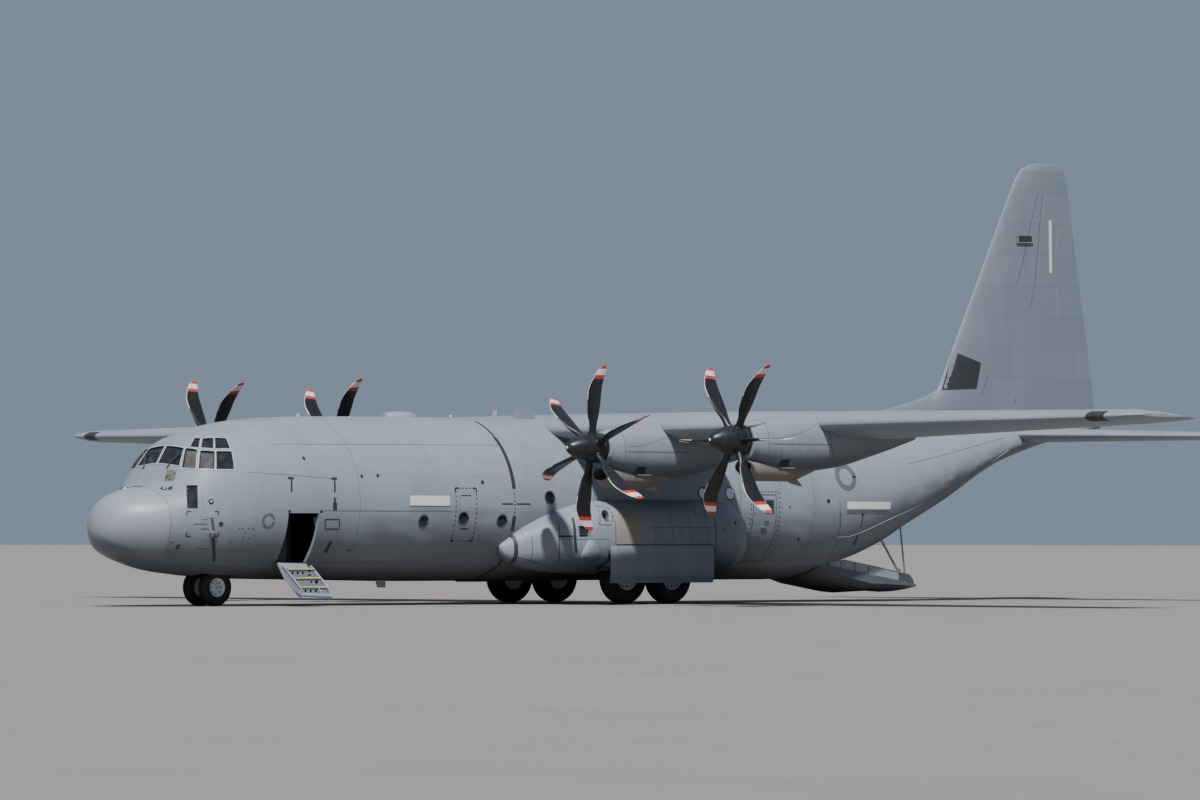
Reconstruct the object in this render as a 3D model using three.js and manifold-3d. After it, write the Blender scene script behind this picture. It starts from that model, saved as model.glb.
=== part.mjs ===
// A four-turboprop military transport plane, parked on its gear with its crew stair and cargo
// ramp open. Everything is written at full size in millimetres and shown at half scale.
// +X is port, the nose points to -Y, +Z is up. A station is the distance aft of the nose tip.
import * as THREE from 'three';
import { mergeVertices } from 'three/addons/utils/BufferGeometryUtils.js';
import Module from 'manifold-3d';

const wasm = await Module();
wasm.setup();

// Driving dimensions
const modelScale = 0.5;
const overallLength = 34370;
const yOfNoseTip = -overallLength / 2;
const seatGap = 0.7;
const runningGap = 14;
const wallThickness = 80;
const cargoFloorZ = 1030;
const cargoFloorThickness = 330;
const halfSpan = 20205;
const wingKinkX = 5590;
const propPlane = 11400;
const engineTable = [
  // name, x, shaft height, turn of the blades in degrees
  { name: 'outboard_port', x: 10060, z: 3980, turn: 0 },
  { name: 'inboard_port', x: 4940, z: 3850, turn: 81.5 },
  { name: 'inboard_starboard', x: -4940, z: 3850, turn: 66 },
  { name: 'outboard_starboard', x: -10060, z: 3980, turn: 57 },
];
const mainWheel = { x: 2170, radius: 660, halfWidth: 250, rimRadius: 300, stations: [14930, 16460] };
const noseWheel = { x: 300, radius: 450, halfWidth: 140, rimRadius: 215, station: 3390 };
const sides = [['port', 1], ['starboard', -1]];

const y = (station) => yOfNoseTip + station;
const radians = THREE.MathUtils.degToRad;
const root = new THREE.Group();
root.scale.setScalar(modelScale);

// Materials
const paint = new THREE.MeshStandardMaterial({ color: 0x8d949c, roughness: 0.62, metalness: 0.1 });
const darkPaint = new THREE.MeshStandardMaterial({ color: 0x5b626a, roughness: 0.65, metalness: 0.1 });
const interiorPaint = new THREE.MeshStandardMaterial({ color: 0x7f8682, roughness: 0.7 });
const black = new THREE.MeshStandardMaterial({ color: 0x17181a, roughness: 0.4 });
const rubber = new THREE.MeshStandardMaterial({ color: 0x1b1b1c, roughness: 0.9 });
const steel = new THREE.MeshStandardMaterial({ color: 0xa9adb0, roughness: 0.4, metalness: 0.8 });
const cloth = new THREE.MeshStandardMaterial({ color: 0x3c4a3a, roughness: 0.95 });
const glass = new THREE.MeshStandardMaterial({ color: 0x2f3b42, roughness: 0.1, transparent: true, opacity: 0.5 });

// Solids from closed geometry, and back
function solid(geometry) {
  geometry.deleteAttribute('normal');
  geometry.deleteAttribute('uv');
  const merged = mergeVertices(geometry, 0.01);
  return new wasm.Manifold(new wasm.Mesh({
    numProp: 3,
    vertProperties: Float32Array.from(merged.attributes.position.array),
    triVerts: Uint32Array.from(merged.index.array),
  }));
}

function addPart(name, body, material) {
  const { numProp, vertProperties, triVerts } = body.getMesh();
  if (numProp !== 3 || triVerts.length === 0) throw new Error(`${name} is empty`);
  const geometry = new THREE.BufferGeometry();
  geometry.setAttribute('position', new THREE.BufferAttribute(Float32Array.from(vertProperties), 3));
  geometry.setIndex(Array.from(triVerts));
  geometry.computeVertexNormals();
  const mesh = new THREE.Mesh(geometry, material);
  mesh.name = name;
  root.add(mesh);
}

// A closed loft through rings of equally many points, each end closed by a fan about its centre
function loft(rings) {
  const points = [];
  const faces = [];
  const count = rings[0].length;
  for (const ring of rings) points.push(...ring);
  for (let ring = 0; ring + 1 < rings.length; ring += 1) {
    for (let k = 0; k < count; k += 1) {
      const a = ring * count + k;
      const b = ring * count + ((k + 1) % count);
      faces.push(a, b, b + count, a, b + count, a + count);
    }
  }
  for (const [start, flip] of [[0, true], [(rings.length - 1) * count, false]]) {
    const centre = new THREE.Vector3();
    for (let k = 0; k < count; k += 1) centre.addScaledVector(points[start + k], 1 / count);
    points.push(centre);
    for (let k = 0; k < count; k += 1) {
      const a = start + k;
      const b = start + ((k + 1) % count);
      faces.push(points.length - 1, flip ? b : a, flip ? a : b);
    }
  }
  let volume = 0;
  for (let k = 0; k < faces.length; k += 3) {
    const [a, b, c] = [points[faces[k]], points[faces[k + 1]], points[faces[k + 2]]];
    volume += a.dot(b.clone().cross(c));
  }
  if (volume < 0) faces.reverse();
  const geometry = new THREE.BufferGeometry().setFromPoints(points);
  geometry.setIndex(faces);
  return solid(geometry);
}

// Simple shapes: a box between stations, a round bar between two points, an outline pushed along an axis
function block([x0, x1], [s0, s1], [z0, z1]) {
  const geometry = new THREE.BoxGeometry(Math.abs(x1 - x0), s1 - s0, z1 - z0);
  geometry.translate((x0 + x1) / 2, y((s0 + s1) / 2), (z0 + z1) / 2);
  return solid(geometry);
}

function bar(from, to, radiusFrom, radiusTo = radiusFrom, sidesRound = 16) {
  const along = to.clone().sub(from);
  const geometry = new THREE.CylinderGeometry(radiusTo, radiusFrom, along.length(), sidesRound);
  geometry.applyQuaternion(new THREE.Quaternion().setFromUnitVectors(
    new THREE.Vector3(0, 1, 0), along.clone().normalize()));
  geometry.translate(...from.clone().add(to).multiplyScalar(0.5).toArray());
  return solid(geometry);
}

function ringOf(outline, place) {
  return outline.map(([a, b]) => place(a, b));
}

// An outline of (station, height) pairs between two x, or of (x, station) pairs between two heights
const plateAcross = (outline, x0, x1) => loft([x0, x1].map((x) =>
  ringOf(outline, (s, z) => new THREE.Vector3(x, y(s), z))));
const plateUp = (outline, z0, z1) => loft([z0, z1].map((z) =>
  ringOf(outline, (x, s) => new THREE.Vector3(x, y(s), z))));

// A profile of (distance along, radius) pairs turned about an axis through a point
function turned(profile, centre, direction, segments) {
  const points = profile.map(([along, radius]) => new THREE.Vector2(radius, along));
  const geometry = new THREE.LatheGeometry(points, segments);
  geometry.applyQuaternion(new THREE.Quaternion().setFromUnitVectors(new THREE.Vector3(0, 1, 0), direction));
  geometry.translate(centre.x, centre.y, centre.z);
  const body = solid(geometry);
  if (body.volume() > 0) return body;
  const flipped = mergeVertices(geometry, 0.01);
  flipped.index.array.reverse();
  return solid(flipped);
}

const at = (x, s, z) => new THREE.Vector3(x, y(s), z);
const joined = (bodies) => bodies.reduce((sum, body) => sum.add(body));
const without = (body, cutters) => cutters.reduce((rest, cutter) => rest.subtract(cutter), body);

// Smooth values between the rows of a table, without overshoot
function between(table, s) {
  const last = table.length - 1;
  if (s <= table[0][0]) return table[0];
  if (s >= table[last][0]) return table[last];
  const i = table.findIndex((row) => row[0] > s) - 1;
  const slope = (k, c) => (table[k + 1][c] - table[k][c]) / (table[k + 1][0] - table[k][0]);
  const tangent = (k, c) => {
    if (k === 0 || k === last) return k === 0 ? slope(0, c) : slope(last - 1, c);
    const [before, after] = [slope(k - 1, c), slope(k, c)];
    return before * after > 0 ? (2 * before * after) / (before + after) : 0;
  };
  const width = table[i + 1][0] - table[i][0];
  const t = (s - table[i][0]) / width;
  return table[i].map((value, c) => {
    if (c === 0) return s;
    const step = table[i + 1][c] - value;
    const bend = t * (1 - t) * ((1 - t) * (tangent(i, c) * width - step) - t * (tangent(i + 1, c) * width - step));
    return value + step * t + bend;
  });
}

// Fuselage: station, top, widest height, chine height, belly, half width, chine half width, squareness
const fuselageTable = [
  [0, 2000, 1880, 1790, 1760, 110, 80, 2.0],
  [60, 2210, 1890, 1650, 1560, 330, 240, 2.0],
  [250, 2480, 1920, 1470, 1340, 640, 460, 2.0],
  [600, 2700, 1980, 1310, 1150, 950, 690, 2.05],
  [1050, 2830, 2040, 1190, 1000, 1230, 890, 2.1],
  [1250, 2865, 2063, 1150, 942, 1328, 960, 2.14],
  [1500, 2920, 2090, 1110, 880, 1440, 1040, 2.2],
  [1860, 3420, 2130, 1070, 820, 1600, 1150, 2.3],
  [2200, 3920, 2170, 1040, 780, 1730, 1240, 2.35],
  [2600, 4130, 2230, 1010, 740, 1860, 1330, 2.3],
  [3100, 4300, 2310, 990, 700, 1980, 1410, 2.2],
  [4000, 4480, 2420, 980, 660, 2100, 1500, 2.1],
  [5000, 4570, 2480, 980, 640, 2150, 1535, 2.0],
  [6400, 4620, 2490, 980, 620, 2160, 1545, 2.0],
  [9400, 4650, 2490, 980, 580, 2160, 1545, 2.0],
  [21600, 4650, 2490, 980, 580, 2160, 1545, 2.0],
  [22400, 4655, 2530, 1000, 610, 2158, 1535, 2.0],
  [23100, 4660, 2600, 1110, 730, 2150, 1525, 2.0],
  [24450, 4670, 2800, 1520, 1200, 2120, 1510, 2.0],
  [25600, 4690, 3050, 2050, 1860, 2050, 1480, 2.0],
  [27100, 4730, 3430, 2690, 2490, 1850, 1370, 2.0],
  [28850, 4800, 3900, 3480, 3280, 1480, 1110, 2.0],
  [30100, 4870, 4200, 3900, 3700, 1170, 880, 2.0],
  [31700, 4930, 4430, 4260, 4150, 800, 600, 2.0],
  [33000, 4950, 4590, 4480, 4410, 470, 350, 2.0],
  [34370, 4880, 4740, 4690, 4660, 110, 80, 2.0],
];

// Sides of half a section round its top, below its widest place and under its belly
const outerSteps = [8, 3, 3];
const innerSteps = [5, 2, 2];

// Half of a section from the top round to the belly, on the port side
function skinHalf(s, inset = 0) {
  const [upperSteps, lowerSteps, bellySteps] = inset < wallThickness ? outerSteps : innerSteps;
  const [, top, wide, chineZ, belly, halfWidth, chineX, power] = between(fuselageTable, s);
  const w = halfWidth - inset;
  const up = top - inset - wide;
  const shrink = w / halfWidth;
  const chine = [chineX * shrink, wide - (wide - chineZ) * shrink];
  const points = [];
  for (let k = 0; k <= upperSteps; k += 1) {
    const angle = (k / upperSteps) * Math.PI / 2;
    points.push([w * Math.sin(angle) ** (2 / power), wide + up * Math.cos(angle) ** (2 / power)]);
  }
  const chineAngle = Math.acos(chine[0] / w);
  const down = (wide - chine[1]) / Math.sin(chineAngle);
  for (let k = 1; k <= lowerSteps; k += 1) {
    const angle = (k / lowerSteps) * chineAngle;
    points.push([w * Math.cos(angle), wide - down * Math.sin(angle)]);
  }
  const bottom = Math.min(belly + inset, chine[1] - 5);
  for (let k = 1; k <= bellySteps; k += 1) {
    const part = 1 - k / bellySteps;
    points.push([chine[0] * part, bottom + (chine[1] - bottom) * part * part]);
  }
  return points;
}

function skinRing(s, inset = 0) {
  const half = skinHalf(s, inset);
  const mirrored = half.slice(1, -1).reverse().map(([x, z]) => [-x, z]);
  return [...half, ...mirrored].map(([x, z]) => at(x, s, z));
}

function hull(from, to, inset = 0) {
  const stations = fuselageTable.map((row) => row[0]).filter((s) => s > from + 1 && s < to - 1);
  return loft([from, ...stations, to].map((s) => skinRing(s, inset)));
}

// Half width of the skin at a station and height
function skinX(s, z, inset = 0) {
  const half = skinHalf(s, inset);
  for (let k = 0; k + 1 < half.length; k += 1) {
    const [[xa, za], [xb, zb]] = [half[k], half[k + 1]];
    if ((za - z) * (zb - z) <= 0 && za !== zb) return xa + (xb - xa) * (z - za) / (zb - za);
  }
  throw new Error(`no skin at ${s}, ${z}`);
}

// A solid seen again after a turn about an axis through a point
function swung(body, pivot, axis, degrees) {
  const { vertProperties, triVerts } = body.getMesh();
  const geometry = new THREE.BufferGeometry();
  geometry.setAttribute('position', new THREE.BufferAttribute(Float32Array.from(vertProperties), 3));
  geometry.setIndex(Array.from(triVerts));
  geometry.translate(-pivot.x, -pivot.y, -pivot.z);
  geometry.applyMatrix4(new THREE.Matrix4().makeRotationAxis(axis, radians(degrees)));
  geometry.translate(pivot.x, pivot.y, pivot.z);
  return solid(geometry);
}

// Where the fuselage shells meet, and the openings in them
const radomeEnd = 1250;
const forwardEnd = 6400;
const barrelEnd = 19000;
const aftEnd = 30100;
const tailEnd = overallLength;
const everyHeight = [-200, 9000];
const crewDoorway = { s: [4220, 5140], z: [1060, 2240] };
const noseBay = { x: 650, s: [2730, 4050], roof: 1700, wall: 30 };
const wheelBay = { x: [1660, 2700], s: [13800, 17400], roof: 2350, wall: 90, sideSkinLow: 1450 };
const roundWindows = [
  // station, height
  [8440, 2050], [9710, 2130], [10970, 2070], [12510, 2660], [17700, 2790],
];
const roundWindowRadius = 150;
const paratroopDoor = { s: [19440, 20250], z: [1090, 2760] };
const rearOpening = [
  // station, half width
  [22390, 1410], [25600, 1400], [27100, 1280], [28850, 1010], [29540, 880],
];
const ramp = { hingeS: 22400, hingeZ: 1000, reach: 3700, closedSlope: 19, closing: 27.8, frontLean: 31 };
const cargoDoor = { hingeS: 29480, hingeZ: 3620, raised: 27, end: 29440 };

const acrossX = new THREE.Vector3(1, 0, 0);
const alongY = new THREE.Vector3(0, 1, 0);

// A stretch of the skin as thick as its wall, open at both ends unless the hollow is cut short there
function shell(from, to, hollow = [from - 50, to + 50]) {
  const inner = hull(0, aftEnd, wallThickness).intersect(block([-2500, 2500], hollow, [0, 6000]));
  return hull(from, to).subtract(inner);
}

function planPrism(table, narrower, z0, z1) {
  const port = table.map(([s, x]) => [x - narrower, s]);
  const starboard = table.map(([s, x]) => [narrower - x, s]).reverse();
  return plateUp([...port, ...starboard], z0, z1);
}

function windowHoles(from, to) {
  return roundWindows.filter(([s]) => s > from && s < to).flatMap(([s, z]) => sides.map(([, side]) =>
    bar(at(side * 1700, s, z), at(side * 2400, s, z), roundWindowRadius)));
}

// Flight deck windows: each pane by its four corners on the port skin, as (x, station, height)
const panes = {
  front: [[50, 1880, 3440], [800, 1910, 3370], [660, 2160, 3780], [50, 2140, 3840]],
  cornerLower: [[920, 1920, 3320], [1250, 2050, 3290], [1010, 2290, 3730], [730, 2180, 3780]],
  sideLowerFore: [[1320, 2100, 3290], [1540, 2380, 3280], [1290, 2590, 3700], [1090, 2330, 3710]],
  sideLowerAft: [[1560, 2440, 3280], [1700, 2850, 3280], [1450, 2970, 3700], [1310, 2630, 3700]],
  upperCorner: [[810, 2240, 3830], [980, 2350, 3800], [740, 2590, 4020], [620, 2530, 4020]],
  upperFore: [[1030, 2400, 3790], [1210, 2610, 3780], [930, 2830, 4020], [800, 2630, 4020]],
  upperAft: [[1240, 2660, 3780], [1380, 2980, 3780], [1100, 3080, 4020], [960, 2870, 4020]],
  lowSide: [[1460, 1640, 2360], [1580, 1850, 2360], [1440, 1960, 2880], [1260, 1780, 2880]],
};

function paneCutters(corners) {
  return sides.map(([, side]) => {
    const points = corners.map(([x, s, z]) => at(side * x, s, z));
    const out = points[0].clone().sub(points[2]).cross(points[1].clone().sub(points[3])).normalize();
    if (out.x * side < 0) out.negate();
    return loft([-150, 160].map((push) => points.map((point) =>
      point.clone().addScaledVector(out, push))));
  });
}

// Wing, fin and stabiliser share one thin section: part of the chord, upper and lower height over thickness
const foilTable = [
  [0, 0, 0], [0.02, 0.22, -0.15], [0.1, 0.44, -0.3], [0.3, 0.61, -0.42], [0.52, 0.56, -0.38], [0.75, 0.31, -0.22],
  [1, 0.012, -0.012],
];

// A foil ring from its leading edge, chord, thickness and trailing edge drop; the symmetric one evens both faces
function foilRing(place, { chord, thickness, drop = 0, symmetric = false, grow = 0 }) {
  const upper = [];
  const lower = [];
  for (const [part, high, low] of foilTable) {
    const along = part * chord + grow * (2 * part - 1);
    const even = (high - low) / 2;
    const fall = -drop * part;
    upper.push([along, fall + (symmetric ? even : high) * thickness + grow]);
    lower.push([along, fall - (symmetric ? even : -low) * thickness - grow]);
  }
  return [...upper, ...lower.slice(1).reverse()].map(([along, height]) => place(along, height));
}

// Wing: x, leading edge station and height, chord, thickness, trailing edge drop
const wingTable = {
  root: { x: 0, lead: 13380, z: 4330, chord: 4880, thickness: 850, drop: 240 },
  kink: { x: wingKinkX, lead: 13380, z: 4330, chord: 4880, thickness: 820, drop: 230 },
  tip: { x: 19600, lead: 14350, z: 4450, chord: 2520, thickness: 310, drop: 60 },
  tipCap: { x: 20060, lead: 14480, z: 4475, chord: 2260, thickness: 180, drop: 50 },
  tipEnd: { x: halfSpan, lead: 14800, z: 4485, chord: 1500, thickness: 70, drop: 30 },
};

function wingRing(row, side, grow = 0) {
  const place = (along, height) => at(side * row.x, row.lead + along, row.z + height);
  return foilRing(place, { ...row, grow });
}

function wingBetween(a, b, x) {
  const t = (x - a.x) / (b.x - a.x);
  return Object.fromEntries(Object.keys(a).map((key) => [key, a[key] + (b[key] - a[key]) * t]));
}

const wingCentreFull = (grow = 0) => loft([
  wingRing(wingTable.kink, -1, grow), wingRing(wingTable.root, 1, grow), wingRing(wingTable.kink, 1, grow)]);
const outerWingFull = (side) => loft(['kink', 'tip', 'tipCap', 'tipEnd'].map((key) => {
  const row = key === 'kink' ? { ...wingTable.kink, x: wingKinkX + seatGap } : wingTable[key];
  return wingRing(row, side);
}));

// Fin and stabiliser rows: place along the span, leading edge station, chord, thickness
const finTable = [
  [4700, 27500, 6600, 510], [5300, 27750, 6470, 500], [5560, 28150, 6020, 490], [6710, 28730, 5260, 450],
  [10810, 30830, 2400, 240], [11380, 31150, 2020, 200], [11640, 31350, 1720, 170], [11790, 31700, 1120, 110],
  [11840, 32000, 600, 40],
];
const finHollowTable = [
  // height, front and rear stations, half width
  [4500, 28350, 31500, 135], [5560, 28870, 31500, 130], [10300, 30940, 32300, 45],
];
const dorsalTable = [
  // station, ridge height, half width at its foot
  [24650, 4700, 60], [26300, 5080, 120], [27900, 5500, 200], [28600, 5900, 200],
];
const stabiliserTable = {
  root: { x: 0, lead: 29980, z: 4450, chord: 3140, thickness: 400 },
  tip: { x: 7700, lead: 31150, z: 4330, chord: 1540, thickness: 180 },
  tipCap: { x: 7950, lead: 31330, z: 4328, chord: 1240, thickness: 110 },
  tipEnd: { x: 8025, lead: 31600, z: 4327, chord: 700, thickness: 40 },
};

function stabiliserFull(grow = 0) {
  const ringAt = (row, side) => foilRing(
    (along, height) => at(side * row.x, row.lead + along, row.z + height), { ...row, symmetric: true, grow });
  const outward = ['tip', 'tipCap', 'tipEnd'];
  const port = outward.map((key) => ringAt(stabiliserTable[key], 1));
  const starboard = outward.map((key) => ringAt(stabiliserTable[key], -1)).reverse();
  return loft([...starboard, ringAt(stabiliserTable.root, 1), ...port]);
}

function finFull() {
  return loft(finTable.map(([z, lead, chord, thickness]) => foilRing(
    (along, height) => at(height, lead + along, z), { chord, thickness, symmetric: true })));
}

// Round a hinge's nose; the many-sided bars' flats take up a little of it
const noseClearance = 18;

// A hinged surface is parted from its carrier along cones about the hinge line
function partSurface(full, { stops, region, clearRegion }) {
  const [from, to] = [stops[0].point, stops.at(-1).point];
  const along = to.clone().sub(from).normalize();
  const longer = (end, more) => end.clone().addScaledVector(along, more);
  const bars = (more, longerBy) => joined(stops.slice(1).map((stop, k) => bar(
    k === 0 ? longer(from, -longerBy) : stops[k].point, stop.point === to ? longer(to, longerBy) : stop.point,
    stops[k].radius + more, stop.radius + more)));
  const [nose, clearNose] = [bars(0, 0), bars(noseClearance, runningGap)];
  const pinRadius = Math.min(stops[0].radius, stops.at(-1).radius) * 0.45;
  const pinSides = 8;
  const half = (runningGap - seatGap) / 2;
  const pins = (near, far) => [
    bar(longer(from, -near), longer(from, -far), pinRadius, pinRadius, pinSides),
    bar(longer(to, near), longer(to, far), pinRadius, pinRadius, pinSides),
  ];
  const moving = joined([full.intersect(region.add(nose)), ...pins(-60, half)]);
  const fixed = joined([without(full, [clearRegion, clearNose]), ...pins(half + seatGap, runningGap + 60)]);
  return { moving, fixed };
}

const plateAlong = (outline, s0, s1) => loft([s0, s1].map((s) => ringOf(outline, (x, z) => at(x, s, z))));

// Height of the foil's face over its thickness at a part of the chord
function foilHeight(part, column) {
  const k = foilTable.findIndex((row) => row[0] >= part);
  const [a, b] = [foilTable[k - 1], foilTable[k]];
  return a[column] + (b[column] - a[column]) * (part - a[0]) / (b[0] - a[0]);
}

// Fuselage shells
const rearOpeningCut = planPrism(rearOpening, 0, everyHeight[0], 3900);
const wingForCuts = joined([wingCentreFull(seatGap)]);

function buildFuselage() {
  addPart('radome', hull(0, radomeEnd - seatGap), darkPaint);

  const hinge = crewDoorHinge();
  const [d0, d1] = crewDoorway.s;
  const doorBrackets = [[d0 - 5, hinge.barrel[0] - seatGap], [hinge.barrel[1] + seatGap, d1 + 5]].map((s) =>
    block([hinge.x - 70, hinge.x + 15], s, [hinge.z - 15, hinge.z + 15]));
  const forward = without(shell(radomeEnd, forwardEnd - seatGap, [radomeEnd + 60, forwardEnd + 50]), [
    block([1200, 2400], crewDoorway.s, crewDoorway.z),
    block([-noseBay.x, noseBay.x], noseBay.s, [-100, 1000]),
    ...Object.values(panes).flatMap(paneCutters),
  ]);
  addPart('forward_fuselage', joined([forward, ...doorBrackets]), paint);

  const [b0, b1] = [wheelBay.s[0] - wheelBay.wall, wheelBay.s[1] + wheelBay.wall];
  const bayWalls = sides.map(([, side]) => hull(b0, b1).intersect(
    block([side * (wheelBay.x[0] - wallThickness), side * 2300], [b0, b1], [960, wheelBay.roof + 150])));
  const bayRecesses = sides.map(([, side]) =>
    block([side * wheelBay.x[0], side * 2400], wheelBay.s, [400, wheelBay.roof + 50]));
  const mid = joined([shell(forwardEnd, barrelEnd - seatGap), ...bayWalls]);
  addPart('mid_fuselage', without(mid, [...bayRecesses, wingForCuts, ...windowHoles(forwardEnd, barrelEnd)]), paint);

  const doorHoles = sides.map(([, side]) =>
    block([side * 1500, side * 2400], paratroopDoor.s, paratroopDoor.z));
  const rampBrackets = sides.map(([, side]) => block([side * (rampKnuckleHalf + seatGap), side * 1500],
    [ramp.hingeS - 20, ramp.hingeS + 20], [ramp.hingeZ - 20, ramp.hingeZ + 20]));
  const doorBoxes = sides.map(([, side]) => block([side * (doorKnuckleHalf + seatGap), side * (doorKnuckleHalf + 40)],
    [cargoDoor.hingeS - 15, aftEnd - 60], [cargoDoor.hingeZ - 20, cargoDoor.hingeZ + 20]));
  const knuckleSlot = block([-rampKnuckleHalf - seatGap, rampKnuckleHalf + seatGap],
    [ramp.hingeS - 40, ramp.hingeS], [ramp.hingeZ - 60, ramp.hingeZ + 60]);
  const aft = without(shell(barrelEnd, aftEnd, [barrelEnd - 50, aftEnd - 150]), [
    ...doorHoles, rearOpeningCut, knuckleSlot, stabiliserFull(seatGap)]);
  addPart('aft_fuselage', joined([aft, ...rampBrackets, ...doorBoxes]), paint);
  const tailHollow = hull(aftEnd - 50, 33000, wallThickness);
  addPart('tail_cone', without(hull(aftEnd + seatGap, tailEnd), [tailHollow, stabiliserFull(seatGap)]), paint);

  for (const [name, side] of sides) {
    const [s0, s1] = paratroopDoor.s;
    const [z0, z1] = paratroopDoor.z;
    const panel = shell(s0 - 100, s1 + 100).intersect(
      block([side * 1500, side * 2400], [s0 + seatGap, s1 - seatGap], [z0 + seatGap, z1 - seatGap]));
    addPart(`paratroop_door_${name}`,
      panel.subtract(block([side * 1900, side * 2400], [s0 + 260, s0 + 560], [z1 - 410, z1 - 80])), paint);
  }
}

// Inside: cargo floor, flight deck, seats, instruments and glass
function insideFit(body) {
  return body.intersect(hull(radomeEnd, aftEnd, wallThickness + seatGap));
}

function buildInside() {
  const floorEnd = ramp.hingeS - 40;
  addPart('cargo_floor', insideFit(
    block([-1500, 1500], [4100, floorEnd], [cargoFloorZ - cargoFloorThickness, cargoFloorZ])), interiorPaint);

  const deck = block([-2100, 2100], [2250, 5600], [2280, 2350]);
  const bulkhead = block([-2100, 2100], [5550, 5600], [2280, 4600]).subtract(
    block([-380, 380], [5500, 5700], [2350, 4150]));
  addPart('flight_deck', insideFit(deck.add(bulkhead)), interiorPaint);
  const dash = insideFit(block([-1150, 1150], [2300, 2460], [2350 + seatGap, 3120]));
  const console = block([-150, 150], [2450, 3350], [2350 + seatGap, 2760]);
  addPart('instrument_panel', dash.add(console), black);
  for (const [name, side] of sides) {
    const x = side * 560;
    addPart(`crew_seat_${name}`, joined([
      block([x - 120, x + 120], [3080, 3380], [2350 + seatGap, 2700]),
      block([x - 250, x + 250], [2980, 3520], [2690, 2830]),
      plateAcross([[3440, 2820], [3560, 2820], [3680, 3560], [3590, 3580]], x - 230, x + 230),
    ]), cloth);
  }
  const bandInner = hull(radomeEnd, forwardEnd, wallThickness + 22);
  const band = insideFit(block([-2100, 2100], [1620, 3260], [2350 + seatGap, 4200])).subtract(bandInner);
  addPart('flight_deck_glass', band, glass);
  const [s0, s1] = noseBay.s;
  const { x, wall, roof } = noseBay;
  const bay = block([-x - wall, x + wall], [s0 - wall, s1 + wall], [500, roof]).subtract(
    block([-x, x], noseBay.s, [400, roof - wall]));
  addPart('nose_gear_bay', insideFit(bay), darkPaint);
}

// Crew door: a panel of the skin with its steps, hinged along its lower edge
function crewDoorHinge() {
  const z = 1010;
  return { z, x: skinX(4680, z) + 32, barrel: [crewDoorway.s[0] + 30, crewDoorway.s[1] - 30], open: -104 };
}

function buildCrewDoor() {
  const hinge = crewDoorHinge();
  const [s0, s1] = crewDoorway.s;
  const [low, high] = [crewDoorway.z[0] + 20, crewDoorway.z[1] - 12];
  const skin = hull(3100, forwardEnd).subtract(hull(2600, 9400, 50));
  const panel = skin.intersect(block([1200, 2400], [s0 + 12, s1 - 12], [low, high]));
  const edgeX = skinX(4680, low + 60);
  const flange = plateAlong([
    [hinge.x - 10, hinge.z], [hinge.x + 12, hinge.z], [edgeX + 30, low + 60], [edgeX - 20, low + 60],
    [edgeX - 4, low + 22],
  ], hinge.barrel[0] + 40, hinge.barrel[1] - 40);
  const pivot = at(hinge.x, 0, hinge.z);
  const opened = swung(panel.add(flange), pivot, alongY, -hinge.open);
  const barrel = bar(at(hinge.x, hinge.barrel[0], hinge.z), at(hinge.x, hinge.barrel[1], hinge.z), 18);
  const treads = [0, 1, 2].map((k) => {
    const x = hinge.x + 250 + k * 250;
    const z = hinge.z - 110 - k * 215;
    return block([x - 60, x + 190], [s0 + 40, s1 - 40], [z - 14, z + 14]);
  });
  const stringers = [s0 + 30, s1 - 60].map((s) => plateAlong([
    [hinge.x + 150, hinge.z - 180], [hinge.x + 270, hinge.z - 30], [hinge.x + 960, hinge.z - 560],
    [hinge.x + 960, hinge.z - 800], [hinge.x + 860, hinge.z - 790],
  ], s, s + 30));
  addPart('crew_door_stair', joined([opened, barrel, ...stringers, ...treads]), darkPaint);
}

// Ramp and cargo door: pieces of the tail's underside, made closed and then swung to where they park
const rampKnuckleHalf = 1290;
const doorKnuckleHalf = 300;

function buildRampAndDoor() {
  const hingeLine = at(0, ramp.hingeS, ramp.hingeZ);
  const reachBar = (radius) => bar(
    at(-2500, ramp.hingeS, ramp.hingeZ), at(2500, ramp.hingeS, ramp.hingeZ), radius, radius, 96);
  const front = ramp.hingeS + 50;
  const far = ramp.hingeS + 4200;
  const lean = Math.tan(radians(ramp.frontLean));
  const climb = Math.tan(radians(ramp.closedSlope));
  const side = plateAcross([
    [front, cargoFloorZ], [front + lean * 900, cargoFloorZ - 900], [far, cargoFloorZ - 900],
    [far, cargoFloorZ + climb * (far - front)],
  ], -1500, 1500);
  const closedRamp = hull(21600, 27100).intersect(planPrism(rearOpening, runningGap, -200, 3900))
    .intersect(side).intersect(reachBar(ramp.reach));
  const web = block([-1270, 1270], [ramp.hingeS, front + 30], [ramp.hingeZ - 14, ramp.hingeZ + 14]);
  const knuckle = bar(at(-rampKnuckleHalf, ramp.hingeS, ramp.hingeZ), at(rampKnuckleHalf, ramp.hingeS, ramp.hingeZ), 24);
  const rampAtRest = swung(closedRamp.add(web), hingeLine, acrossX, -ramp.closing);
  addPart('cargo_ramp', rampAtRest.add(knuckle), darkPaint);

  const doorHinge = at(0, cargoDoor.hingeS, cargoDoor.hingeZ);
  const closedDoor = shell(24450, aftEnd).intersect(planPrism(rearOpening, runningGap, -200, 3900))
    .intersect(block([-1500, 1500], [25500, cargoDoor.end], [1500, 3900]))
    .subtract(reachBar(ramp.reach + runningGap));
  const doorWeb = block([-270, 270], [cargoDoor.end - 120, cargoDoor.hingeS], [cargoDoor.hingeZ - 90, cargoDoor.hingeZ + 14]);
  const doorKnuckle = bar(at(-doorKnuckleHalf, cargoDoor.hingeS, cargoDoor.hingeZ),
    at(doorKnuckleHalf, cargoDoor.hingeS, cargoDoor.hingeZ), 20);
  const raised = swung(closedDoor.add(doorWeb), doorHinge, acrossX, -cargoDoor.raised);
  addPart('cargo_door', raised.add(doorKnuckle), darkPaint);
}

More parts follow.
